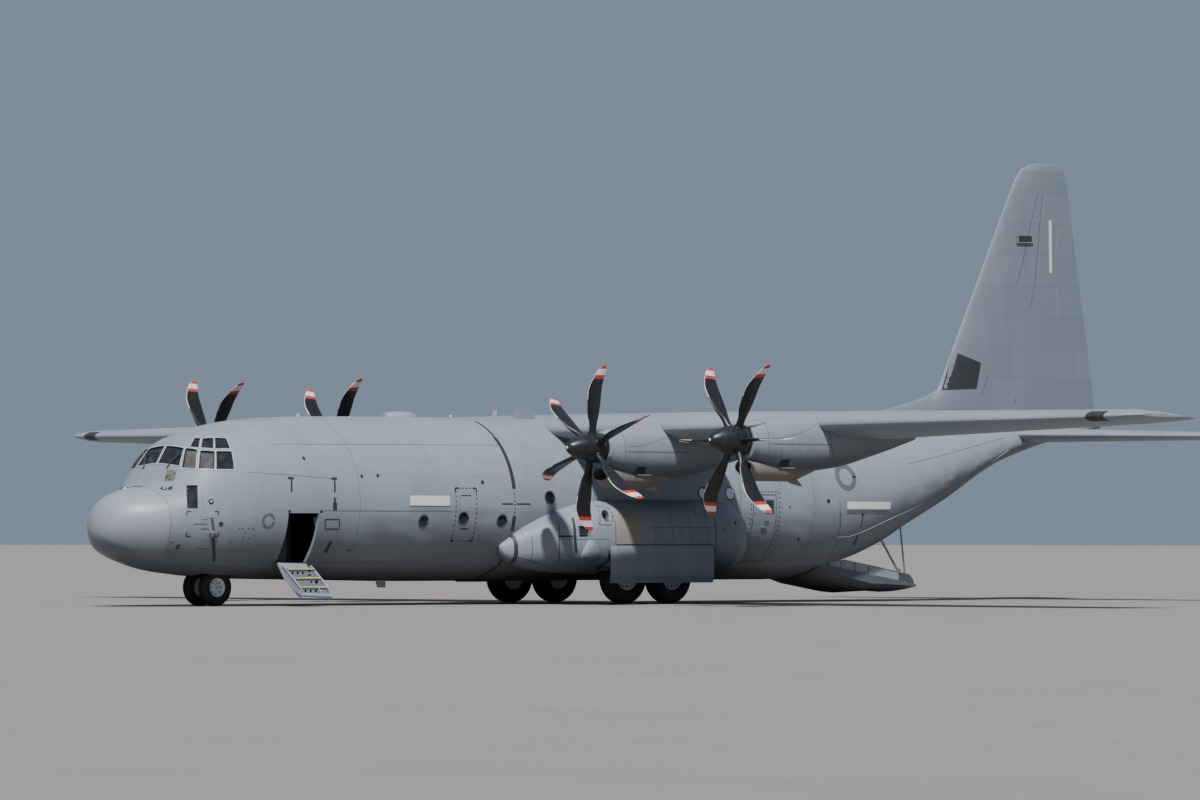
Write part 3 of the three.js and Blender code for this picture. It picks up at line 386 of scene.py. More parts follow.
dull_metal = plain_finish("dull_metal", (0.25, 0.25, 0.25), 0.5, metallic=0.7, scale=30.0)
hub_white = plain_finish("hub_white", (0.74, 0.75, 0.76), 0.42, scale=25.0, vary=0.12)
sun_blind = plain_finish("sun_blind", (0.92, 0.76, 0.55), 0.8, scale=9.0, vary=0.15)
mauve_blind = plain_finish("mauve_blind", (0.74, 0.6, 0.7), 0.8, scale=5.0, vary=0.5)
blade_black = plain_finish("blade_black", (0.009, 0.01, 0.012), 0.42, scale=12.0, vary=0.3)
spinner_black = plain_finish("spinner_black", (0.012, 0.013, 0.015), 0.36, scale=16.0, vary=0.3)
rubber = plain_finish("rubber", (0.022, 0.022, 0.023), 0.8, scale=60.0, vary=0.35, bump=0.001)
seat_cloth = plain_finish("seat_cloth", (0.045, 0.06, 0.045), 0.95, scale=240.0, vary=0.3)
panel_black = plain_finish("panel_black", (0.02, 0.02, 0.022), 0.7, scale=80.0)
band_red = plain_finish("band_red", (0.50, 0.03, 0.025), 0.45, scale=20.0)
band_white = plain_finish("band_white", (0.68, 0.67, 0.64), 0.45, scale=20.0, vary=0.08)
window_glass = glazing("window_glass", (0.02, 0.026, 0.03), 0.48)
cabin_glass = glazing("cabin_glass", (0.012, 0.014, 0.016), 0.75)

# Fuselage skin: the same sections as the solids, with more points round and along them

FUSELAGE = (
    # station, top, widest height, chine height, belly, half width, chine half width, squareness
    (0, 2.0, 1.88, 1.79, 1.76, 0.11, 0.08, 2.0), (0.06, 2.21, 1.89, 1.65, 1.56, 0.33, 0.24, 2.0),
    (0.25, 2.48, 1.92, 1.47, 1.34, 0.64, 0.46, 2.0), (0.6, 2.7, 1.98, 1.31, 1.15, 0.95, 0.69, 2.05),
    (1.05, 2.83, 2.04, 1.19, 1.0, 1.23, 0.89, 2.1), (1.25, 2.865, 2.063, 1.15, 0.942, 1.328, 0.96, 2.14),
    (1.5, 2.92, 2.09, 1.11, 0.88, 1.44, 1.04, 2.2), (1.86, 3.42, 2.13, 1.07, 0.82, 1.6, 1.15, 2.3),
    (2.2, 3.92, 2.17, 1.04, 0.78, 1.73, 1.24, 2.35), (2.6, 4.13, 2.23, 1.01, 0.74, 1.86, 1.33, 2.3),
    (3.1, 4.3, 2.31, 0.99, 0.7, 1.98, 1.41, 2.2), (4.0, 4.48, 2.42, 0.98, 0.66, 2.1, 1.5, 2.1),
    (5.0, 4.57, 2.48, 0.98, 0.64, 2.15, 1.535, 2.0), (6.4, 4.62, 2.49, 0.98, 0.62, 2.16, 1.545, 2.0),
    (9.4, 4.65, 2.49, 0.98, 0.58, 2.16, 1.545, 2.0), (21.6, 4.65, 2.49, 0.98, 0.58, 2.16, 1.545, 2.0),
    (22.4, 4.655, 2.53, 1.0, 0.61, 2.158, 1.535, 2.0), (23.1, 4.66, 2.6, 1.11, 0.73, 2.15, 1.525, 2.0),
    (24.45, 4.67, 2.8, 1.52, 1.2, 2.12, 1.51, 2.0), (25.6, 4.69, 3.05, 2.05, 1.86, 2.05, 1.48, 2.0),
    (27.1, 4.73, 3.43, 2.69, 2.49, 1.85, 1.37, 2.0), (28.85, 4.8, 3.9, 3.48, 3.28, 1.48, 1.11, 2.0),
    (30.1, 4.87, 4.2, 3.9, 3.7, 1.17, 0.88, 2.0), (31.7, 4.93, 4.43, 4.26, 4.15, 0.8, 0.6, 2.0),
    (33.0, 4.95, 4.59, 4.48, 4.41, 0.47, 0.35, 2.0), (34.37, 4.88, 4.74, 4.69, 4.66, 0.11, 0.08, 2.0),
)
SECTION_STEPS = (22, 8, 8)
WALL = 0.08


def half_section(s, inset=0.0):
    """(x, height) from the crown round the port side to the belly."""
    _, top, wide, chine_z, belly, half, chine_x, power = between(FUSELAGE, s)
    w = half - inset
    up = top - inset - wide
    chine = (chine_x * w / half, wide - (wide - chine_z) * w / half)
    upper, lower, under = SECTION_STEPS
    points = []
    for k in range(upper + 1):
        angle = k / upper * math.pi / 2
        across, over = math.sin(angle), max(math.cos(angle), 0)
        points.append((w * across ** (2 / power), wide + up * over ** (2 / power)))
    chine_angle = math.acos(chine[0] / w)
    down = (wide - chine[1]) / math.sin(chine_angle)
    for k in range(1, lower + 1):
        angle = k / lower * chine_angle
        points.append((w * math.cos(angle), wide - down * math.sin(angle)))
    bottom = min(belly + inset, chine[1] - 0.005)
    for k in range(1, under + 1):
        part = 1 - k / under
        points.append((chine[0] * part, bottom + (chine[1] - bottom) * part * part))
    return points


def section_ring(s, inset=0.0):
    half = half_section(s, inset)
    return [at(x, s, z) for x, z in half + [(-x, z) for x, z in half[1:-1][::-1]]]


def skin_stations(s0, s1):
    places = [s0]
    while places[-1] < s1 - 1e-6:
        s = places[-1]
        step = 0.05 if s < 0.5 else 0.12 if s < 5 else 0.7 if s < 21 else 0.3
        places.append(min(s + step, s1))
    return places


class Guide:
    """A whole smooth surface: gives places and normals, to lay trim on it and to shade cut pieces."""

    def __init__(self, points, faces):
        mesh = outward_mesh("guide", points, faces)
        self.points = [v.co.copy() for v in mesh.vertices]
        self.normals = [v.normal.copy() for v in mesh.vertices]
        self.faces = [tuple(p.vertices) for p in mesh.polygons]
        self.tree = BVHTree.FromPolygons(self.points, self.faces)
        bpy.data.meshes.remove(mesh)

    def nearest(self, point):
        place, _, index, gap = self.tree.find_nearest(point)
        return place, self.normal_at(place, index), gap

    def normal_at(self, place, index):
        total = Vector((0, 0, 0))
        for v in self.faces[index]:
            total += self.normals[v] / ((self.points[v] - place).length + 1e-6)
        return total.normalized()

    def along(self, origin, direction):
        """Where a line from outside first meets the surface, and the normal there."""
        place, _, index, _ = self.tree.ray_cast(origin, direction)
        return None if place is None else (place, self.normal_at(place, index))

    def from_side(self, side, s, z, x=0.0, reach=4):
        """The same for a level line from outside, on one side of x."""
        return self.along(at(x + side * reach, s, z), Vector((-side, 0, 0)))

    def shade(self, obj, reach=0.002):
        """Gives the faces that lie on this surface its own smooth normals."""
        mesh = obj.data
        mesh.polygons.foreach_set("use_smooth", [True] * len(mesh.polygons))
        normals = [None] * len(mesh.loops)
        known = {}
        for face in mesh.polygons:
            for loop in face.loop_indices:
                v = mesh.loops[loop].vertex_index
                if v not in known:
                    known[v] = self.nearest(mesh.vertices[v].co)
                _, smooth, gap = known[v]
                near = gap < reach and smooth.dot(face.normal) > 0.8
                normals[loop] = tuple(smooth if near else face.normal)
        mesh.normals_split_custom_set(normals)


def shell(start, end, inset=0.0):
    return [section_ring(s, inset) for s in skin_stations(start, end)]


RADOME_END, FORWARD_END, BARREL_END, AFT_END, TAIL_END = 1.25, 6.4, 19.0, 30.1, 34.37
hull_guide = Guide(*skin_of(shell(0, TAIL_END)))


# Fuselage shells with their openings cut

CREW_DOOR = {"s": (4.22, 5.14), "z": (1.06, 2.24)}
NOSE_BAY = {"x": 0.65, "s": (2.73, 4.05), "roof": 1.7}
WHEEL_BAY = {"x": (1.66, 2.70), "s": (13.8, 17.4), "roof": 2.35, "skin_low": 1.45}
ROUND_WINDOWS = ((8.44, 2.05), (9.71, 2.13), (10.97, 2.07), (12.51, 2.66), (17.7, 2.79))
WINDOW_RADIUS, LINING = 0.15, 0.06
CUT_REACH = 2.4  # half width that is outside the skin everywhere
PARATROOP_DOOR = {"s": (19.44, 20.25), "z": (1.09, 2.76)}
REAR_OPENING = ((22.39, 1.41), (25.6, 1.4), (27.1, 1.28), (28.85, 1.01), (29.54, 0.88))
PANES = {
    # four corners on the port skin, as (x, station, height)
    "front": ((0.05, 1.88, 3.44), (0.80, 1.91, 3.37), (0.66, 2.16, 3.78), (0.05, 2.14, 3.84)),
    "corner_lower": ((0.92, 1.92, 3.32), (1.25, 2.05, 3.29), (1.01, 2.29, 3.73), (0.73, 2.18, 3.78)),
    "side_lower_fore": ((1.32, 2.10, 3.29), (1.54, 2.38, 3.28), (1.29, 2.59, 3.70), (1.09, 2.33, 3.71)),
    "side_lower_aft": ((1.56, 2.44, 3.28), (1.70, 2.85, 3.28), (1.45, 2.97, 3.70), (1.31, 2.63, 3.70)),
    "upper_corner": ((0.81, 2.24, 3.83), (0.98, 2.35, 3.80), (0.74, 2.59, 4.02), (0.62, 2.53, 4.02)),
    "upper_fore": ((1.03, 2.40, 3.79), (1.21, 2.61, 3.78), (0.93, 2.83, 4.02), (0.80, 2.63, 4.02)),
    "upper_aft": ((1.24, 2.66, 3.78), (1.38, 2.98, 3.78), (1.10, 3.08, 4.02), (0.96, 2.87, 4.02)),
    "low_side": ((1.46, 1.64, 2.36), (1.58, 1.85, 2.36), (1.44, 1.96, 2.88), (1.26, 1.78, 2.88)),
}


def on_side(side, spots):
    """Places in the frame for (x, station, height) spots given for port."""
    return [at(side * x, s, z) for x, s, z in spots]


def pane_shape(corners, side):
    points = on_side(side, corners)
    out = (points[0] - points[2]).cross(points[1] - points[3]).normalized()
    if out.x * side < 0:
        out.negate()
    return prism(points, out * 0.16 * MODEL_SCALE, out * -0.15 * MODEL_SCALE)


def plan_prism(table, low, high):
    """Straight up from low to high over (station, half width) rows, on both sides."""
    outline = [at(x, s, low) for s, x in table] + [at(-x, s, low) for s, x in table[::-1]]
    return prism(outline, (0, 0, (high - low) * MODEL_SCALE))


def window_cuts(s0, s1):
    return [bar_shape(on_side(side, ((1.7, s, z), (CUT_REACH, s, z))), WINDOW_RADIUS, 32)
            for s, z in ROUND_WINDOWS if s0 < s < s1 for _, side in SIDES]


def both_sides(x, s, z):
    return [box_shape(sorted((side * x[0], side * x[1])), s, z) for _, side in SIDES]


def build_fuselage():
    radome = piece("radome_skin", *skin_of(shell(0, RADOME_END)), radome_paint)
    rings = shell(RADOME_END, FORWARD_END) + shell(RADOME_END + 0.06, FORWARD_END, WALL)[::-1]
    forward = piece("forward_skin", *skin_of(rings), skin_paint)
    cut(forward, [box_shape((1.2, CUT_REACH), CREW_DOOR["s"], CREW_DOOR["z"]),
                  box_shape((-NOSE_BAY["x"], NOSE_BAY["x"]), NOSE_BAY["s"], (-0.1, 1.0)),
                  *[pane_shape(pane, side) for pane in PANES.values() for _, side in SIDES]])
    outer = shell(FORWARD_END, BARREL_END)
    rings = outer + shell(FORWARD_END, BARREL_END, WALL)[::-1] + outer[:1]
    mid = piece("mid_skin", *skin_of(rings, caps=False), skin_paint)
    x0, (s0, s1), roof = WHEEL_BAY["x"][0], WHEEL_BAY["s"], WHEEL_BAY["roof"]
    cut(mid, both_sides((x0, CUT_REACH), (s0, s1), (0.4, 2.4)) + window_cuts(FORWARD_END, BARREL_END))
    rings = shell(BARREL_END, AFT_END - 0.15, WALL)[::-1] + shell(BARREL_END, AFT_END)
    aft = piece("aft_skin", *skin_of(rings), skin_paint)
    cut(aft, [plan_prism(REAR_OPENING, -0.2, 3.9),
              *both_sides((1.5, CUT_REACH), PARATROOP_DOOR["s"], PARATROOP_DOOR["z"])])
    tail = piece("tail_skin", *skin_of(shell(AFT_END, TAIL_END)), skin_paint)
    for obj, cad in ((radome, "radome"), (forward, "forward_fuselage"), (mid, "mid_fuselage"),
                     (aft, "aft_fuselage"), (tail, "tail_cone")):
        hull_guide.shade(obj)
        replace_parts(obj, cad)

    walls = [box for x, s, z in (
        ((x0 - LINING, x0), (s0 - LINING, s1 + LINING), (0.75, roof)),
        ((x0, 2.05), (s0 - LINING, s0), (0.75, roof)),
        ((x0, 2.05), (s1, s1 + LINING), (0.75, roof)),
        ((x0, 2.1), (s0 - LINING, s1 + LINING), (roof, roof + LINING)),
    ) for box in both_sides(x, s, z)]
    piece("wheel_bay_lining", *several(walls), bay_paint, smooth_angle=0)


def top_point(x, s):
    return hull_guide.along(at(x, s, 6), Vector((0, 0, -1)))[0]


def slab(rows, low, high):
    """A closed plate over a grid of (place, normal) rows, between two heights over the surface."""
    count = len(rows[0])
    lower = [p + n * low * MODEL_SCALE for row in rows for p, n in row]
    upper = [p + n * high * MODEL_SCALE for row in rows for p, n in row]
    base = len(lower)
    faces = []
    for i in range(len(rows) - 1):
        for k in range(count - 1):
            a = i * count + k
            quad = (a, a + 1, a + count + 1, a + count)
            faces += [tuple(v + base for v in quad), quad[::-1]]
    edge = (list(range(count)) + [i * count + count - 1 for i in range(1, len(rows))]
            + [(len(rows) - 1) * count + k for k in range(count - 2, -1, -1)]
            + [i * count for i in range(len(rows) - 2, 0, -1)])
    for k, a in enumerate(edge):
        b = edge[(k + 1) % len(edge)]
        faces.append((a, b, b + base, a + base))
    return lower + upper, faces


def side_patch(side, s, z, low=SUNK, high=HAIR, step=0.12):
    """A thin plate on the fuselage side over a box of stations and heights."""
    rows = [[hull_guide.from_side(side, a, b) for b in spread(*z, step)] for a in spread(*s, step * 3)]
    return slab(rows, low, high)


def surface_path(points, width, guide=hull_guide, high=HAIR, low=SUNK):
    """A thin ribbon on a surface through points that lie near it."""
    spots = [guide.nearest(p)[:2] for p in points]
    rows = []
    for k, (place, normal) in enumerate(spots):
        ahead, behind = spots[min(k + 1, len(spots) - 1)][0], spots[max(k - 1, 0)][0]
        across = normal.cross(ahead - behind).normalized() * width / 2 * MODEL_SCALE
        rows.append([guide.nearest(place + across * t)[:2] for t in (-1, 0, 1)])
    return slab(rows, low, high)


build_fuselage()


# Wing, stabiliser and fin: smooth sections, with coves where a surface is hinged

FOIL = (
    # square root of the part of the chord, upper and lower height over thickness
    (0, 0, 0), (0.1414, 0.22, 0.15), (0.3162, 0.44, 0.30), (0.5477, 0.61, 0.42), (0.7211, 0.56, 0.38),
    (0.866, 0.31, 0.22), (1, 0.012, 0.012),
)
WING = (
    # x, leading edge station and height, chord, thickness, trailing edge drop
    (0, 13.38, 4.33, 4.88, 0.85, 0.24), (5.59, 13.38, 4.33, 4.88, 0.82, 0.23),
    (19.6, 14.35, 4.45, 2.52, 0.31, 0.06), (20.06, 14.48, 4.475, 2.26, 0.18, 0.05),
    (20.205, 14.8, 4.485, 1.5, 0.07, 0.03),
)
STABILISER = (
    (0, 29.98, 4.45, 3.14, 0.4, 0), (7.7, 31.15, 4.33, 1.54, 0.18, 0), (7.95, 31.33, 4.328, 1.24, 0.11, 0),
    (8.025, 31.6, 4.327, 0.7, 0.04, 0),
)
FIN = (
    # height, leading edge station, x, chord, thickness, drop
    (4.7, 27.5, 0, 6.6, 0.51, 0), (5.3, 27.75, 0, 6.47, 0.5, 0), (5.56, 28.15, 0, 6.02, 0.49, 0),
    (6.71, 28.73, 0, 5.26, 0.45, 0), (10.81, 30.83, 0, 2.4, 0.24, 0), (11.38, 31.15, 0, 2.02, 0.2, 0),
    (11.64, 31.35, 0, 1.72, 0.17, 0), (11.79, 31.7, 0, 1.12, 0.11, 0), (11.84, 32.0, 0, 0.6, 0.04, 0),
)
FLAP_PART, FLAP_SPAN = 0.72, (2.33, 12.48)
AILERON = {"span": (12.6, 19.4), "stations": (16.5657, 16.2003), "heights": (4.3141, 4.4195)}
ELEVATOR = {"span": (0.98, 7.56), "stations": (31.99, 31.99), "heights": (4.4347, 4.3322)}
RUDDER = {"span": (5.15, 11.33), "stations": (32.73, 32.73), "heights": (0, 0)}
RUNNING_GAP = 0.014
FOIL_STEPS, COVE_STEPS = 18, 8
# station, ridge height, half width of the foot
DORSAL = ((24.65, 4.7, 0.06), (26.3, 5.08, 0.12), (27.9, 5.5, 0.2), (28.6, 5.9, 0.2))


def straight(table, place):
    """Values on the straight line between the rows of a table."""
    k = max(i for i in range(len(table) - 1) if table[i][0] <= place or i == 0)
    a, b = table[k], table[k + 1]
    t = (place - a[0]) / (b[0] - a[0])
    return [va + (vb - va) * t for va, vb in zip(a, b)]


def foil_heights(part, symmetric):
    _, high, low = between(FOIL, math.sqrt(max(part, 0)))
    return ((high + low) / 2,) * 2 if symmetric else (high, low)


def foil_ring(row, symmetric, end=1.0, cove=None):
    """One closed section as (station, height); end is the part of the chord where it stops, cove the
    (station, height, radius) of a hinge that it wraps round."""
    _, lead, level, chord, thickness, drop = row
    if cove:
        station, height, radius = cove
        part = (station - lead) / chord
        thick = sum(foil_heights(part, symmetric)) / 2 * thickness
        end = part - math.sqrt(max(radius ** 2 - thick ** 2, 0.0001)) / chord
    upper, lower = [], []
    for k in range(FOIL_STEPS + 1):
        part = (k / FOIL_STEPS) ** 2 * end
        high, low = foil_heights(part, symmetric)
        upper.append((lead + part * chord, level - drop * part + high * thickness))
        lower.append((lead + part * chord, level - drop * part - low * thickness))
    arc = []
    if cove:
        first = math.atan2(upper[-1][1] - height, upper[-1][0] - station)
        last = math.atan2(lower[-1][1] - height, lower[-1][0] - station) % (2 * math.pi)
        angles = [first + (last - first) * k / COVE_STEPS for k in range(1, COVE_STEPS)]
        arc = [(station + radius * math.cos(a), height + radius * math.sin(a)) for a in angles]
    return upper + arc + lower[:0:-1]


def last_straight(table):
    """Where the rounded tip begins."""
    return table[-4 if table is FIN else -3][0]


def span_rows(table, a, b, step=0.8):
    places = spread(a, b, step)
    places += [row[0] for row in table if a < row[0] < b]
    last = last_straight(table)
    if b > last:
        places += spread(max(a, last), b, (table[-1][0] - last) / 8)
    return sorted(set(round(p, 4) for p in places))


def lifting(table, a, b, side=1, symmetric=False, end=1.0, hinge=None):
    """A stretch of wing, stabiliser or fin from a to b along its span."""
    rings = []
    for place in span_rows(table, a, b):
        row = (straight if place <= last_straight(table) or table is FIN else between)(table, place)
        cove = None
        if hinge:
            (h0, h1), (s0, s1), (z0, z1) = hinge["span"], hinge["stations"], hinge["heights"]
            t = (place - h0) / (h1 - h0)
            station, height = s0 + (s1 - s0) * t, z0 + (z1 - z0) * t
            part = (station - row[1]) / row[3]
            radius = sum(foil_heights(part, symmetric)) / 2 * row[4] * 0.985 + RUNNING_GAP
            cove = (station, height, radius)
        rings.append([at(h, s, place) if table is FIN else at(side * place, s, h)
                      for s, h in foil_ring(row, symmetric, end, cove)])
    return skin_of(rings)


def hinged(table, surface, start, side=1, symmetric=True):
    """The lifting surface from start to its tip, with a cove along one hinged surface."""
    low, high = surface["span"][0] - RUNNING_GAP, surface["span"][1] + RUNNING_GAP
    return [lifting(table, start, low, side, symmetric),
            lifting(table, low, high, side, symmetric, hinge=surface),
            lifting(table, high, table[-1][0], side, symmetric)]


def dorsal_ring(s, ridge, foot):
    shape = [(foot * math.sin(a) ** 1.6, ridge - (ridge - 4.3) * (1 - math.cos(a)) ** 1.15)
             for a in (k / 8 * math.pi / 2 for k in range(9))]
    return [at(x, s, z) for x, z in shape + [(-x, z) for x, z in shape[:0:-1]]]


def build_lifting_surfaces():
    """Makes them, and returns the whole wing's surface for each side."""
    centre = [lifting(WING, 0, FLAP_SPAN[0]), lifting(WING, 0, FLAP_SPAN[0], -1)]
    centre += [lifting(WING, FLAP_SPAN[0], 5.59, side, end=FLAP_PART) for _, side in SIDES]
    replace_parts(piece("wing_centre_skin", *several(centre), wing_paint), "wing_centre")
    for name, side in SIDES:
        shapes = [lifting(WING, 5.5907, FLAP_SPAN[1], side, end=FLAP_PART),
                  *hinged(WING, AILERON, FLAP_SPAN[1] + 0.002, side, False)]
        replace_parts(piece(f"outer_wing_skin_{name}", *several(shapes), wing_paint), f"outer_wing_{name}")
    shapes = [shape for _, side in SIDES for shape in hinged(STABILISER, ELEVATOR, 0, side)]
    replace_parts(piece("stabiliser_skin", *several(shapes), wing_paint), "stabiliser")
    dorsal = skin_of([dorsal_ring(s, *between(DORSAL, s)[1:]) for s in spread(24.65, 28.6, 0.2)])
    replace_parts(piece("fin_skin", *several(hinged(FIN, RUDDER, FIN[0][0]) + [dorsal]), fin_paint), "fin")
    return {side: Guide(*lifting(WING, 0, WING[-1][0], side)) for _, side in SIDES}


wing_guides = build_lifting_surfaces()


# Engines: nacelles with their scoops, and the propellers

ENGINES = (
    # name, x, shaft height, turn of the blades in degrees
    ("outboard_port", 10.06, 3.98, 0), ("inboard_port", 4.94, 3.85, 81.5),
    ("inboard_starboard", -4.94, 3.85, 66), ("outboard_starboard", -10.06, 3.98, 57),
)
NACELLE = (
    # station, top and bottom from the shaft line, half width
    (11.69, 0.385, -0.475, 0.42), (12.2, 0.505, -0.63, 0.52), (13.4, 0.625, -0.745, 0.59),
    (14.6, 0.64, -0.64, 0.58), (15.9, 0.46, -0.34, 0.47), (17.3, 0.3, 0.04, 0.2),
)
SCOOP = (
    (11.71, -0.465, -0.78, 0.3), (11.96, -0.43, -0.97, 0.335), (13.1, -0.42, -0.98, 0.32),
    (13.9, -0.46, -0.76, 0.2),
)
SCOOP_DRAIN = ((13.16, -0.96), (13.3, -1.03), (13.62, -1.09), (13.5, -0.97), (13.44, -0.92))
NACELLE_LINES = (
    # width, then (station, height from the shaft line) spots
    (0.02, [(s, -0.09) for s in spread(12.11, 14.05, 0.15)]),
    (0.01, [(s, 0.03 + 0.46 * ((s - 12.2) / 1.7) ** 1.6) for s in spread(12.2, 13.9, 0.1)]),
    (0.014, [(13.98 + 0.32 * ((0.5 - h) / 1.1) ** 2, h) for h in spread(-0.6, 0.5, 0.1)]),
    *[(0.008, [(s, h) for h in spread(-0.6, -0.09, 0.1)]) for s in (12.46, 13.3)],
)
POD_POWER = 2.3
SPINNER = ((0, 0), (0.045, 0.095), (0.16, 0.18), (0.36, 0.27), (0.66, 0.345), (1.03, 0.375))
SPINNER_TIP, PROPELLER_STATION = 10.61, 11.4
BLADE = (
    # radius, chord, thickness, offset aft, pitch in degrees, how far the section is a foil
    (0.28, 0.19, 0.176, 0, 96, 0), (0.52, 0.2, 0.15, 0, 94, 0.2), (0.85, 0.37, 0.088, -0.035, 91, 0.8),
    (1.4, 0.46, 0.046, -0.06, 87, 1), (1.85, 0.34, 0.024, 0.09, 82, 1), (1.97, 0.235, 0.018, 0.18, 81, 1),
    (2.035, 0.12, 0.011, 0.262, 80, 1),
)
BLADE_ROOT, BLADE_ROUND, BLADE_END = 0.28, 1.97, 2.035  # the tip is rounded from BLADE_ROUND on
BLADE_BANDS = (1.70, 1.795, 1.945)
EDGE_START = 1.19  # from here outwards the leading edge is pale
BLADES, BLADE_STEPS = 6, 20


def rounded(value, power):
    return math.copysign(abs(value) ** (2 / power), value)


def pod_ring(x, level, row, inset=0.0, count=48):
    """A section of a nacelle or scoop whose engine shaft is at x and at the height level."""
    s, top, bottom, half = row
    middle, tall = (top + bottom) / 2, (top - bottom) / 2 - inset
    return [at(x + (half - inset) * rounded(math.cos(a), POD_POWER), s,
               level + middle + tall * rounded(math.sin(a), POD_POWER)) for a in turns(count)]


def build_nacelle(name, x, level):
    rings = [pod_ring(x, level, between(NACELLE, s), inset) for s, inset in ((11.69, 0.03), (11.697, 0.01))]
    rings += [pod_ring(x, level, between(NACELLE, s)) for s in [11.705, 11.73] + spread(11.78, 17.3, 0.14)]
    skin = piece(f"nacelle_skin_{name}", *skin_of(rings), pod_paint)
    guide = Guide(*skin_of(rings))
    vent_s, vent_z = (12.52, 12.86), (level - 0.665, level - 0.455)

    def vents(x0, x1, s, z):
        return [box_shape(sorted((x + way * x0, x + way * x1)), s, z) for way in (1, -1)]

    cut(skin, vents(0.36, 0.8, vent_s, vent_z))
    guide.shade(skin)
    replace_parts(skin, f"nacelle_{name}")
    dark = vents(0.362, 0.366, shrunk(vent_s, 0.01), shrunk(vent_z, 0.01))
    # a near-black disc on the nacelle's closed front: painted shade in the gap behind the spinner
    dark.append(turned_shape(drum(0, 0.006, 0.36), at(x, 11.686, level), AFT))
    piece(f"nacelle_dark_{name}", *several(dark), dark_mark)
    lips = vents(0.47, 0.585, (vent_s[0] + 0.005, vent_s[1]), (vent_z[0], vent_z[0] + 0.012))
    piece(f"nacelle_vent_lip_{name}", *several(lips), frame_paint, smooth_angle=0)

    ring = pod_ring(x, level, between(NACELLE, 12.09))
    seams, marks = [surface_path(ring + ring[:1], 0.016, guide)], []
    for way in (1, -1):
        seams += [surface_path([guide.from_side(way, s, level + h, x, 2)[0] for s, h in spots], width, guide)
                  for width, spots in NACELLE_LINES]
        top = [guide.along(at(x + way * 0.33, s, level + 3), Vector((0, 0, -1)))[0] for s in (13.8, 13.9)]
        marks.append(surface_path(top, 0.06, guide, high=0.004))
    piece(f"nacelle_seams_{name}", *several(seams), mid_mark)
    piece(f"nacelle_marks_{name}", *several(marks), dark_mark)


def build_scoop(name, x, level):
    rings = [pod_ring(x, level, between(SCOOP, 11.71), 0.012, 32)]
    rings += [pod_ring(x, level, between(SCOOP, s), 0, 32)
              for s in [11.725, 11.75] + spread(11.79, 13.9, 0.1)]
    scoop = piece(f"scoop_{name}", *skin_of(rings), scoop_paint)
    duct = [pod_ring(x, level, [s] + between(SCOOP, max(s, 11.72))[1:], inset, 24)
            for s, inset in ((11.65, 0.042), (11.85, 0.052), (12.4, 0.082))]
    cut(scoop, [skin_of(duct)])
    soften(scoop, 40)
    throat = [pod_ring(x, level, [s] + between(SCOOP, 12.35)[1:], 0.07, 20) for s in (12.35, 12.38)]
    piece(f"scoop_throat_{name}", *skin_of(throat), dark_mark)
    drain = prism([at(x + 0.04, s, level + h) for s, h in SCOOP_DRAIN], (-0.08 * MODEL_SCALE, 0, 0))
    piece(f"scoop_drain_{name}", *drain, dull_metal, smooth_angle=30)


def blade_rings():
    """A blade's radii and its sections, for a shaft along y and the blade along x."""
    radii = sorted({*spread(BLADE_ROOT, BLADE_ROUND, 0.07), *BLADE_BANDS, EDGE_START,
                    *spread(BLADE_ROUND, BLADE_END, 0.013)})
    rings = []
    for radius in radii:
        _, chord, thickness, offset, pitch, foil = between(BLADE, radius)
        if radius > BLADE_ROUND:
            rounding = math.sqrt(max(1 - ((radius - BLADE_ROUND) / 0.0665) ** 2, 0.03))
            chord, offset = 0.235 * rounding, 0.18 + (1 - rounding) * 0.06
        turn = math.radians(pitch)
        ring = []
        for angle in turns(BLADE_STEPS):
            c, d = math.cos(angle), math.sin(angle)
            along = offset + chord / 2 * c
            across = thickness / 2 * d * (1 - 0.55 * foil * (c + 0.25)) * (1 - 0.12 * foil)
            ring.append((radius, along * math.sin(turn) + across * math.cos(turn),
                         along * math.cos(turn) - across * math.sin(turn)))
        rings.append(ring)
    return radii, rings


